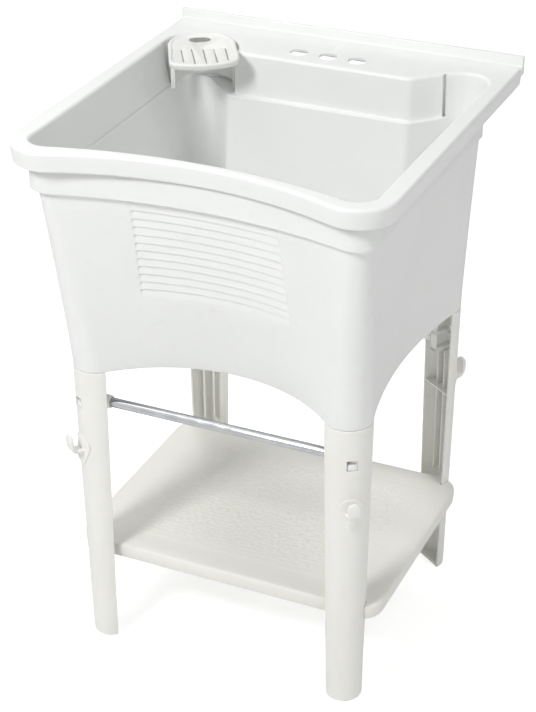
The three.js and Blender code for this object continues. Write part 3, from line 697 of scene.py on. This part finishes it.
def dish_recess():
    """The round space for the soap dish in the left pocket, with rounded edges."""
    r, z, edge, top = DISH_RECESS["r"], DISH_RECESS["floor"], DISH_RECESS["edge"], RIM["top"]
    profile = [(r - 2.5, z), (r - 0.8, z + 0.7), (r, z + 2.5), (r, top - edge)]
    for a in np.radians([20, 40, 60, 80, 90]):
        profile.append((r + edge * (1 - math.cos(a)), top - edge * (1 - math.sin(a))))
    profile.append((r + edge, top + 6))
    return Shape().knob(profile, 96).shifted(DISH["x"], DISH["y"])


def recess_liner():
    """The wall and floor of the round recess."""
    r, z = DISH_RECESS["r"] + WALL, DISH_RECESS["floor"] - WALL
    liner = Shape().knob([(r - 1, z), (r, z + 1), (r, RIM["top"] - 2)], 96)
    return liner.shifted(DISH["x"], DISH["y"])


def bowl_space(inward):
    """The upper part of the space inside the bowl, to trim what is behind its walls."""
    rings = [(inset(lower_wall(z), inward), z) for z in (820, 842)]
    rings += [(inset(inner_band(z), inward), z) for z in (848.6, 870, 900, 930)]
    return Shape().loft(rings)


def leg_tongue():
    """What reaches down into a leg: a curved liner and a tongue with a snap catch."""
    start, end = LEG["start"] + 6, LEG["end"] - 6
    liner = lambda r: sector(r - 3, r, start, end, 30)
    shape = Shape().loft(stack(liner, [(34.3, 500), (34.6, 501), (35.2, 534)]))
    half, low, reach = TONGUE["half"], TONGUE["low"], TONGUE["reach"]
    catch, catch_top = TONGUE["catch"], TONGUE["catch"] + 9.5
    arms = Shape()
    arms.box(-7, -3, -half, half, low, FLOOR["z"] - 2)
    arms.box(-7, reach, -half, half, low, low + 7)
    arms.box(-7, reach - 7, -half, half, 469, 475)
    arms.box(reach - 3, reach, -half, half, low + 4, catch_top)
    arms.box(reach - 2, reach + 5.4, -half, half, catch, catch_top)
    return shape.join(arms.turned(LEG["face"]))


def make_tub():
    shell = Shape().loft(bowl_rings() + rim_rings() + outer_rings(), closed=True)
    tub = make_object("tub_shell", shell)
    behind = make_object("behind", groove_bosses().join(recess_liner()))
    cut(behind, bowl_space(WALL - 1))
    combine(tub, behind, "UNION")
    cut(tub, dish_recess())
    holes = groove_cutters()
    for step in (-1, 0, 1):
        hole = Shape().knob([(FAUCET["r"], 900), (FAUCET["r"], 930)])
        holes.join(hole.shifted(step * FAUCET["pitch"], FAUCET["y"]))
    cut(tub, holes)
    finish_piece(tub, TUB_WHITE, "tub_plastic", ["tub"], smooth=32)

    make_piece("tub_splash", splash_shape(), TUB_WHITE, "tub_plastic")
    make_piece("tub_groove_bead", groove_bead(), TUB_WHITE, "tub_plastic", smooth=60)
    extras = Shape()
    for side_x, side_y in CORNERS.values():
        extras.join(leg_tongue().at_leg(side_x, side_y))
    fittings = make_object("tub_leg_tongues", extras)
    soften(fittings, 0.7)
    finish_piece(fittings, TUB_WHITE, "tub_plastic")


# ---------- legs, hooks and towel bar ----------


def leg_r(z):
    return mix(LEG["foot_r"], LEG["top_r"], z / SKIRT_Z)


def channel(z, shave=0.0):
    """The leg's section: a wall bent round more than half a turn, with rounded edges."""
    outer, inner = leg_r(z) - shave, leg_r(z) - LEG["wall"]
    half = (outer - inner) / 2
    middle = (outer + inner) / 2
    ends = []
    for degrees, away in ((LEG["end"], 1), (LEG["start"], -1)):
        a = math.radians(degrees)
        radial, along = np.array([math.cos(a), math.sin(a)]), np.array([-math.sin(a), math.cos(a)])
        turn = np.radians([60, 30, 0, -30, -60])[:, None] * away
        bulge = away * along * half * 0.7 * (np.cos(turn) - 0.4)
        ends.append(radial * (middle + half * np.sin(turn) * 0.98) + bulge)
    outside = arc(0, 0, outer, LEG["start"], LEG["end"], 44)
    inside = arc(0, 0, inner, LEG["end"], LEG["start"], 44)
    return np.vstack([outside, ends[0], inside, ends[1]])


def half_disc(r, steps=32):
    return arc(0, 0, r, LEG["start"] + 1, LEG["end"] - 1, steps)


def make_leg(name, side_x, side_y):
    heights = [(0, 2.4), (0.5, 1.3), (1.4, 0.6), (3, 0.2), (5, 0)]
    rings = [(channel(z, shave), z) for z, shave in heights]
    rings += [(channel(z), z) for z in (60, 150, 240, 330, 345, 395, 440, 480, 515, 520)]
    rings += [(channel(521.2, 0.3), 521.2), (channel(521.6, 0.9), 521.6)]
    leg = make_object(name + "_shell", Shape().loft(rings))
    holes = Shape()
    half = WINDOW["w"] / 2
    holes.box(25, 50, -half, half, WINDOW["z"] - WINDOW["h"] / 2, WINDOW["z"] + WINDOW["h"] / 2)
    stem, rise = HOOK["stem_w"] / 2 + GAP, HOOK["stem_h"] / 2 + GAP
    holes.box(25, 50, -stem, stem, HOOK["stem_z"] - rise, HOOK["stem_z"] + rise)
    cut(leg, holes.turned(LEG["face"]))
    place = Matrix.Translation((LEG["x"] * MM, LEG["y"] * MM, 0))
    leg.data.transform(Matrix.Diagonal((side_x, side_y, 1, 1)) @ place)
    if side_x * side_y < 0:
        leg.data.flip_normals()
    finish_piece(leg, LEG_WHITE, "leg_plastic", ["leg_" + name])

    inner = Shape()
    foot_r, web_r = leg_r(0) - 2.6, leg_r(WEB_Z) - 2.6
    inner.loft(stack(half_disc, [(foot_r - 0.8, 0), (foot_r, 0.8), (foot_r, 3.9), (foot_r, 4.5)]))
    inner.prism(half_disc(web_r), WEB_Z - 1.5, WEB_Z + 1.5)
    fins = Shape()
    for side in (-1, 1):
        rings = []
        s0, s1 = side * FIN["offset"] - FIN["thick"] / 2, side * FIN["offset"] + FIN["thick"] / 2
        for z in (FIN["foot"], FIN["head"]):
            tip, reach = FIN["tip"], leg_r(z) - 3
            rings.append((np.array([[tip, s0], [reach, s0], [reach, s1], [tip, s1]]), z))
        fins.loft(rings)
    inner.join(fins.turned(LEG["face"]))
    r, bore, mouth, end = SOCKET["r"], SOCKET["bore"], SOCKET["mouth"], SOCKET["end"]
    deep = end - 3
    cup = [(bore, mouth), (r - 0.8, mouth), (r, mouth + 0.8), (r, end), (0.4, end), (0.4, deep), (bore, deep)]
    inner.join(along_x(Shape().lathe(cup, 40)).shifted(0, BAR["y"] - LEG["y"], BAR["z"]))
    inner.box(-20, -13, 19, 31.5, BAR["z"] - 1.5, BAR["z"] + 1.5)
    parts = make_object(name + "_ribs", inner.at_leg(side_x, side_y))
    soften(parts, 0.5)
    finish_piece(parts, LEG_WHITE, "leg_plastic")


def teardrop(shrink):
    """The hook plate's outline as (sideways, height), wide above and narrow below."""
    head, low = HOOK["head"], HOOK["low"]
    big, small = HOOK["r"] - shrink, HOOK["low_r"] - shrink
    lean = math.degrees(math.asin((HOOK["r"] - HOOK["low_r"]) / (head - low)))
    upper = arc(0, head, big, -lean, 180 + lean, 30)
    lower = arc(0, low, small, 180 + lean, 360 - lean, 14)
    return np.vstack([upper, lower])


def hook_plate():
    """A thin plate that lies on the leg's round face."""
    rings = []
    for shrink, out in ((0.4, GAP), (0, GAP + 0.3), (0, 1.6), (0.5, 2.2), (1.5, 2.5), (4, 2.6), (6.5, 2.6)):
        flat = teardrop(shrink)
        radius = leg_r(flat[:, 1]) + out
        a = flat[:, 0] / leg_r(flat[:, 1])
        rings.append(np.column_stack([radius * np.cos(a), radius * np.sin(a), flat[:, 1]]))
    return Shape().loft(rings)


def strip_section(thick, wide):
    """A thin section with round edges as (across, sideways), given its half sizes."""
    return rounded(thick, wide, min(thick, wide, 2.2), 5)


def hook_tongue():
    """The arm and the upturned tongue: a strip swept along a curve, with a round end."""
    half, thick = HOOK["width"] / 2, HOOK["strip"] / 2
    bend = arc(45, HOOK["arm_z"] + 12, 12, -90, -12, 12)
    rise = [(57.6, 388), (57.9, 392), (58, 395)]
    below_top = (8, 6, 4, 2.5, 1.2, 0.5, 0.15, 0.02)
    end = [(58.2 - 0.1 * i, HOOK["top"] - below) for i, below in enumerate(below_top)]
    path = np.vstack([[(37.5, HOOK["arm_z"]), (41, HOOK["arm_z"])], bend, rise, end])
    along = np.gradient(path, axis=0)
    along /= np.linalg.norm(along, axis=1, keepdims=True)
    rings = []
    for p, t in zip(path, along):
        left = min(half, HOOK["top"] - p[1])
        wide = math.sqrt(half**2 - (half - left)**2)
        section = strip_section(thick * min(1.0, 0.25 + wide / half), wide)
        away = np.array([t[1], -t[0]])
        x, z = (p + section[:, :1] * away).T
        rings.append(np.column_stack([x, section[:, 1], z]))
    return Shape().loft(rings)


def make_hook(name, side_x, side_y):
    shape = hook_plate().join(hook_tongue())
    rise, half = HOOK["stem_h"] / 2, HOOK["stem_w"] / 2
    shape.box(33.9, 42, -half, half, HOOK["stem_z"] - rise, HOOK["stem_z"] + rise)
    shape = shape.turned(LEG["face"]).at_leg(side_x, side_y)
    make_piece("hook_" + name + "_piece", shape, LEG_WHITE, "leg_plastic", ["hook_" + name], smooth=40)


def make_bar():
    r, half = BAR["r"], BAR["half"]
    ends = [(r - 3, half), (r - 1.2, half - 0.3), (r - 0.3, half - 1), (r, half - 2), (r, half - 30)]
    profile = [(x, -z) for x, z in ends] + [(r, 0)] + ends[::-1]
    tube = along_x(Shape().knob(profile, 64)).shifted(0, -BAR["y"], BAR["z"])
    make_piece("towel_bar_tube", tube, CHROME, "chrome", ["towel_bar"], body="bar")


# ---------- shelf ----------


def shelf_outline(inward):
    least = 12.0
    x, y = SHELF["half_w"] - inward, SHELF["half_d"] - inward
    return rounded(x, y, max(SHELF["corner_r"] - inward, least), 12)


def pebbles(x, y):
    """Height of the pebbled tread, from 0 to 1: rounded bumps on a jittered grid."""
    pitch = TREAD["pitch"]
    height = np.zeros_like(x)
    column, row = np.floor(x / pitch), np.floor(y / pitch)
    for dc in (-1, 0, 1):
        for dr in (-1, 0, 1):
            c, r = column + dc, row + dr
            seed = np.sin(c * 127.1 + r * 311.7) * 43758.5453
            other = np.sin(c * 269.5 + r * 183.3) * 28001.8384
            jx, jy = seed - np.floor(seed), other - np.floor(other)
            size = 0.24 + 0.13 * ((jx * 7.3 + jy * 3.1) % 1)
            cx, cy = (c + 0.2 + 0.6 * jx) * pitch, (r + 0.2 + 0.6 * jy) * pitch
            far = np.hypot(x - cx, y - cy) / (size * pitch)
            height = np.maximum(height, np.sqrt(np.clip(1 - far**2, 0, 1)))
    return height


def shelf_tread():
    """The pebbled middle of the shelf as a thin slab with a fine top."""
    half_x, half_y = SHELF["half_w"] - SHELF["margin"], SHELF["half_d"] - SHELF["margin"]
    nx, ny = int(half_x / TREAD["mesh"]), int(half_y / TREAD["mesh"])
    xs, ys = np.linspace(-half_x, half_x, nx), np.linspace(-half_y, half_y, ny)
    gx, gy = np.meshgrid(xs, ys, indexing="ij")
    edge = np.minimum(half_x - np.abs(gx), half_y - np.abs(gy))
    calm = np.clip((edge - 6) / 24, 0, 1)
    base = SHELF["top"] - 2.4
    gz = base + np.clip(edge / 5, 0, 1) + TREAD["height"] * pebbles(gx, gy) * calm
    top = np.column_stack([gx.ravel(), gy.ravel(), gz.ravel()])
    faces = []
    for i in range(nx - 1):
        for j in range(ny - 1):
            a = i * ny + j
            faces.append((a, a + ny, a + ny + 1, a + 1))
    rim = [i * ny for i in range(nx)] + [(nx - 1) * ny + j for j in range(1, ny)]
    rim += [i * ny + ny - 1 for i in range(nx - 2, -1, -1)] + list(range(ny - 2, 0, -1))
    below = range(nx * ny, nx * ny + len(rim))
    faces += list(zip(rim, below, (*below[1:], below[0]), rim[1:] + rim[:1]))
    faces.append(tuple(below))
    bottom = with_height(top[rim, :2], base - 1.2)
    return Shape().add(np.vstack([top, bottom]), faces)


def make_shelf():
    top, low = SHELF["top"], SHELF["top"] - SHELF["height"]
    margin, plate = SHELF["margin"], SHELF["plate"]
    # a shallow hollow round the tread, the rounded edge, the side and the hollow underside
    levels = above(top, [
        (margin + 4, -1.8), (margin - 4, -1.7), (margin - 14, -1.2), (margin - 24, -0.5), (margin - 32, -0.1),
        (8, 0), (4, -0.2), (2, -0.9), (0.7, -2.2), (0.1, -4), (0.4, -12),
    ])
    levels += above(low, [(1.3, 1.2), (1.9, 0.2), (3, 0), (4.4, 0.2), (5, 1.2)])
    levels += above(top - plate, [(4.6, -2), (7, 0), (margin + 4, 0)])
    shelf = make_object("shelf_plate", Shape().loft(stack(shelf_outline, levels)))
    start, end = LEG["start"] - 5, LEG["end"] + 5
    outer_r, inner_r = leg_r(top) + 0.6, leg_r(low) - LEG["wall"] - 0.6
    slot = Shape().prism(sector(inner_r, outer_r, start, end + 20, 40), low - 2, top + 2)
    lining = Shape().prism(sector(inner_r - 3, outer_r + 3, start - 4, end, 40), low + 0.6, top - 1)
    slots, collar, ribs = Shape(), Shape(), Shape()
    for side_x, side_y in CORNERS.values():
        slots.join(slot.at_leg(side_x, side_y))
        collar.join(lining.at_leg(side_x, side_y))
    half_x, half_y = SHELF["half_w"] - 4, SHELF["half_d"] - 4
    for x in (-225, -135, -45, 45, 135, 225):
        reach = half_y - 12 if abs(x) > 200 else half_y
        ribs.box(x - 1.5, x + 1.5, -reach, reach, low + 4, top - plate + 1)
    for y in (-120, -40, 40, 120):
        ribs.box(-half_x, half_x, y - 1.5, y + 1.5, low + 4, top - plate + 1)
    cut(shelf, slots)
    finish_piece(shelf, SHELF_WHITE, "shelf_plastic", ["shelf"])
    grid = make_object("shelf_ribs", ribs)
    cut(grid, slots)
    finish_piece(grid, SHELF_WHITE, "shelf_plastic")
    make_piece("shelf_tread", shelf_tread(), SHELF_WHITE, "shelf_plastic", smooth=60)
    collars = make_object("shelf_collars", collar)
    cut(collars, slots)
    limit = make_object("limit", Shape().prism(shelf_outline(2.0), low - 5, top + 5))
    combine(collars, limit, "INTERSECT")
    finish_piece(collars, SHELF_WHITE, "shelf_plastic")


# ---------- soap dish ----------


def dish_outline(inward):
    """The dish seen from above: round at the back, straight sides and a wide, slightly bowed front."""
    back = arc(0, -1.5, 56 - inward, 90, 270, 44)
    left = arc(80, -45, 15 - inward, -90, -25, 10)
    nose = arc(-3.1, -6.5, 105.6 - inward, -22, 22, 16)
    right = arc(66.9, 27, 28 - inward, 26, 90, 12)
    return np.vstack([back, left, nose, right])


def slot_outline(p, q, half):
    """A slot with round ends from p to q."""
    along = math.degrees(math.atan2(q[1] - p[1], q[0] - p[0]))
    return np.vstack([arc(*q, half, along - 90, along + 90, 8), arc(*p, half, along + 90, along + 270, 8)])


def dish_plate():
    """A plate with a raised rim, a sunk middle, drain slots, a hole and a deep front edge."""
    seat = RIM["top"] + 0.4
    top = seat + DISH["plate"]
    low = seat - DISH["lip"]
    levels = above(top, [(8.5, -2), (7.4, -1.8), (6.2, -0.8), (5.3, -0.2), (4.2, 0), (2.4, 0), (1.1, -0.6)])
    levels += above(top, [(0.3, -1.7), (0, -3)])
    levels += above(seat, [(0.1, 0.8), (0.6, 0.2), (1.4, 0), (3.0, 0), (3.6, 0.6), (3.9, 2.2)])
    plate = make_object("soap_dish_plate", Shape().loft(stack(dish_outline, levels)))
    edge = stack(dish_outline, [(1.6, low), (0.8, low + 0.5), (0.4, low + 1.4), (0.2, seat + 2)])
    rim = make_object("edge", Shape().loft(edge))
    cut(rim, Shape().prism(dish_outline(3.6), low - 2, seat + 4))
    cut(rim, Shape().box(-80, 40, -90, 90, low - 3, seat + 5))
    combine(plate, rim, "UNION")
    hole = DISH_HOLE
    oval = np.vstack([
        arc(hole["x"], hole["y"] + hole["reach"], hole["r"], 0, 180, 24),
        arc(hole["x"], hole["y"] - hole["reach"], hole["r"], 180, 360, 24),
    ])
    openings = Shape().prism(oval, low - 5, top + 5)
    for p, q in DISH_SLOTS:
        openings.prism(slot_outline(p, q, 1.25), low - 5, top + 5)
    cut(plate, openings)
    soften(plate, 0.6, angle=50)
    return plate


def dish_skirt():
    """The curved wall under the dish, with a heel at one end and a leg at the other."""
    seat = RIM["top"] + 3.4
    d = DISH_SKIRT
    r, bore, start, end, low = d["r"], d["r"] - d["wall"], d["start"], d["end"], d["z"]
    section = lambda shave: sector(bore + shave, r - shave, start, end, 60)
    skirt = Shape().loft(stack(section, [(0.8, low), (0.2, low + 0.5), (0, low + 1.2), (0, seat)]))
    heel = sector(bore, r, start + 2, start + d["heel"], 8)
    posts = Shape().prism(heel, DISH_RECESS["floor"] + GAP, low + 2)
    posts.prism(sector(d["leg_from"], d["leg_r"], end - 1, end + 3, 4), LEDGE["z"] + 4, seat)
    legs = make_object("soap_dish_posts", posts)
    soften(legs, 0.7)
    return make_object("soap_dish_skirt", skirt), legs


def make_dish():
    turn = Matrix.Rotation(math.radians(DISH["turn"]), 4, "Z")
    place = Matrix.Translation((DISH["x"] * MM, DISH["y"] * MM, 0)) @ turn
    plate = dish_plate()
    for piece in (plate, *dish_skirt()):
        piece.data.transform(place)
        nodes = ["soap_dish"] if piece is plate else []
        finish_piece(piece, DISH_WHITE, "dish_plastic", nodes, smooth=40, body="dish")


# ---------- waste fitting ----------


def over_drain(shape):
    return shape.shifted(DRAIN["x"], DRAIN["y"])


def waste_piece(name, shape, material, slot, node, body="root"):
    make_piece(name, over_drain(shape), material, slot, [node], body=body)


def make_waste():
    seat = DRAIN["seat"] + GAP
    body = Shape().lathe([
        (19, 514), (21.6, 514), (22, 514.6), *above(seat, [
            (22, 0), (30.4, 0), (31, 0.6), (31, 1.6), (30, 2.6), (28, 3.3), (24, 3.2), (20.4, 2.4), (19, 1),
        ]),
    ], 64)
    for degrees in (0, 90):
        body.join(Shape().box(-19.4, 19.4, -1.5, 1.5, 536, 541).turned(degrees))
    for ridge in range(6):
        z = 518 + ridge * 3.2
        body.join(Shape().lathe([(21.6, z), (22.2, z + 0.8), (22.2, z + 1.2), (21.6, z + 2)], 48))
    waste_piece("drain_strainer", body, DRAIN_WHITE, "drain_plastic", "drain_body")

    low, high = 554.6, 557.6
    gasket = Shape().lathe([(22.4, low), (31.4, low), (32, 555.2), (32, 557), (31.4, high), (22.4, high)])
    waste_piece("drain_gasket_ring", gasket, RUBBER, "rubber", "drain_gasket")

    nut = Shape().prism(arc(0, 0, 33.8, 0, 300, 5), 543.6, 554.1)
    lock = make_object("drain_lock_nut_hex", over_drain(nut))
    cut(lock, over_drain(Shape().knob([(22.4, 540), (22.4, 560)])))
    soften(lock, 0.8)
    finish_piece(lock, DRAIN_WHITE, "drain_plastic", ["drain_lock_nut"])

    collar = Shape().lathe([
        (19.4, 505), (26, 505), (27, 506), (28.3, 509), (28.3, 525.4), (27.7, 526), (22.4, 526), (22.4, 509),
        (19.4, 509),
    ], 64)
    for i in range(6):
        collar.join(Shape().box(26, 31.3, -2.8, 2.8, 507.2, 523.8).turned(i * 60))
    slip = make_object("slip_nut_collar", over_drain(collar))
    soften(slip, 0.5)
    finish_piece(slip, DRAIN_WHITE, "drain_plastic", ["slip_nut"])

    washer = Shape().lathe([(18, 511.6), (20.9, 511.6), (21.4, 512.2), (21.4, 513.6), (18, 513.6)])
    waste_piece("slip_washer_ring", washer, RUBBER, "rubber", "slip_washer")

    tail = Shape().lathe([
        (17.5, 420), (18.6, 420), (19, 420.5), (19, 509.3), (21.4, 509.3), (21.4, 511.1), (17.5, 511.1),
    ], 64)
    waste_piece("tailpiece_tube", tail, DRAIN_WHITE, "drain_plastic", "tailpiece")

    rest = seat + 3.4 + GAP
    plug = Shape().knob([
        (15, 549), (16.6, 549.3), (17.2, 550.4), *above(rest, [
            (18.1, -0.5), (18.2, 0), (23.4, 0), (24, 0.7), (24, 2), (23, 3.4), (21.5, 4), (7, 4.6),
            (4.6, 5.6), (4, 7.5), (4.4, 10), (5, 11.4), (4.9, 12.6), (3.6, 14), (1.6, 14.5),
        ]),
    ], 64)
    waste_piece("stopper_plug", plug, RUBBER, "rubber", "stopper", "plug")


# ---------- floor, light and camera ----------


FLOOR_LIFT = 0.55
SHEET = dict(half=9.0, bend=4.5, r=1.5, high=7.0)  # metres


def make_floor():
    """One sheet: a floor that bends up into a backdrop far behind the object."""
    half, bend, r = SHEET["half"], SHEET["bend"], SHEET["r"]
    profile = [(-half, 0), (bend, 0)]
    profile += [(bend + r * math.sin(a), r - r * math.cos(a)) for a in np.radians(np.arange(10, 91, 10))]
    profile.append((bend + r, SHEET["high"]))
    verts, faces = [], []
    for x in (-half, half):
        verts += [(x, y, z) for y, z in profile]
    count = len(profile)
    for i in range(count - 1):
        faces.append((i, i + count, i + count + 1, i + 1))
    mesh = bpy.data.meshes.new("floor")
    mesh.from_pydata(verts, [], faces)
    floor = bpy.data.objects.new("floor", mesh)
    bpy.context.scene.collection.objects.link(floor)
    material, tree, shader, place = node_material("floor_white")
    base = blend_colours(tree, noise(tree, place, 3.0), (0.94, 0.94, 0.94), (0.96, 0.96, 0.96))
    tree.links.new(base, shader.inputs["Base Color"])
    shader.inputs["Roughness"].default_value = 0.9
    # the camera sees the sheet a little brighter than it is lit, so that only shadows show on it
    rays = tree.nodes.new("ShaderNodeLightPath")
    lift = tree.nodes.new("ShaderNodeMath")
    lift.operation = "MULTIPLY"
    tree.links.new(rays.outputs["Is Camera Ray"], lift.inputs[0])
    lift.inputs[1].default_value = FLOOR_LIFT
    shader.inputs["Emission Color"].default_value = (1, 1, 1, 1)
    tree.links.new(lift.outputs[0], shader.inputs["Emission Strength"])
    mesh.materials.append(material)


# name, azimuth from the front to the right and elevation in degrees, size in metres, watts
LAMPS = [
    ("key", -17.6, 42, 0.8, 55),
    ("low_front", 35, 8, 1.5, 4),
    ("low_right", 62, 10, 1.5, 7),
    ("right", 90, 25, 2.0, 8),
    ("upper_right", 80, 62, 1.5, 12),
    ("back", -140, 50, 2.0, 25),
    ("upper_left", -60, 60, 2.0, 12),
]
LAMP_DISTANCE = 3.5
LAMP_TARGET = Vector((0, 0, 0.5))
WORLD_LIGHT = 0.3


def add_area(name, azimuth, elevation, size, power):
    light = bpy.data.lights.new(name, "AREA")
    light.shape = "DISK"
    light.size = size
    light.energy = power
    a, e = math.radians(azimuth), math.radians(elevation)
    away = Vector((math.cos(e) * math.sin(a), -math.cos(e) * math.cos(a), math.sin(e)))
    lamp = bpy.data.objects.new(name, light)
    lamp.location = LAMP_TARGET + away * LAMP_DISTANCE
    lamp.rotation_mode = "QUATERNION"
    lamp.rotation_quaternion = (-away).to_track_quat("-Z", "Y")
    bpy.context.scene.collection.objects.link(lamp)


def make_world():
    """White to the camera and in reflections, but a weaker light."""
    world = bpy.data.worlds.new("studio")
    bpy.context.scene.world = world
    world.use_nodes = True
    tree = world.node_tree
    white = (1, 1, 1, 1)
    light = tree.nodes["Background"]
    light.inputs["Color"].default_value = white
    light.inputs["Strength"].default_value = WORLD_LIGHT
    seen = add_node(tree, "Background", Color=white, Strength=1.0)
    rays = tree.nodes.new("ShaderNodeLightPath")
    either = tree.nodes.new("ShaderNodeMath")
    either.operation = "MAXIMUM"
    choose = tree.nodes.new("ShaderNodeMixShader")
    links = [
        (rays.outputs["Is Camera Ray"], either.inputs[0]), (rays.outputs["Is Glossy Ray"], either.inputs[1]),
        (either.outputs[0], choose.inputs[0]), (light.outputs[0], choose.inputs[1]),
        (seen.outputs[0], choose.inputs[2]), (choose.outputs[0], tree.nodes["World Output"].inputs[0]),
    ]
    for source, socket in links:
        tree.links.new(source, socket)


CAMERA = dict(
    target=(0.42, -18.26, 487.9), distance=3022.1, azimuth=24.33, elevation=29.35, roll=-0.29, lens=93.45,
)


def make_camera():
    az, el, roll = (math.radians(CAMERA[k]) for k in ("azimuth", "elevation", "roll"))
    back = Vector((math.sin(az) * math.cos(el), -math.cos(az) * math.cos(el), math.sin(el)))
    level = Vector((math.cos(az), math.sin(az), 0))
    upright = back.cross(level)
    right = math.cos(roll) * level + math.sin(roll) * upright
    up = back.cross(right)
    data = bpy.data.cameras.new("camera")
    data.sensor_width = 36
    data.lens = CAMERA["lens"]
    camera = bpy.data.objects.new("camera", data)
    place = Vector(CAMERA["target"]) * MM + back * CAMERA["distance"] * MM
    camera.matrix_world = Matrix.Translation(place) @ Matrix((right, up, back)).transposed().to_4x4()
    bpy.context.scene.collection.objects.link(camera)
    bpy.context.scene.camera = camera


make_camera()
make_floor()
make_world()
for name, azimuth, elevation, size, power in LAMPS:
    add_area(name, azimuth, elevation, size, power)
bpy.context.scene.view_settings.view_transform = "Standard"

make_tub()
for corner_name, sides in CORNERS.items():
    make_leg(corner_name, *sides)
    make_hook(corner_name, *sides)
make_bar()
make_shelf()
make_dish()
make_waste()
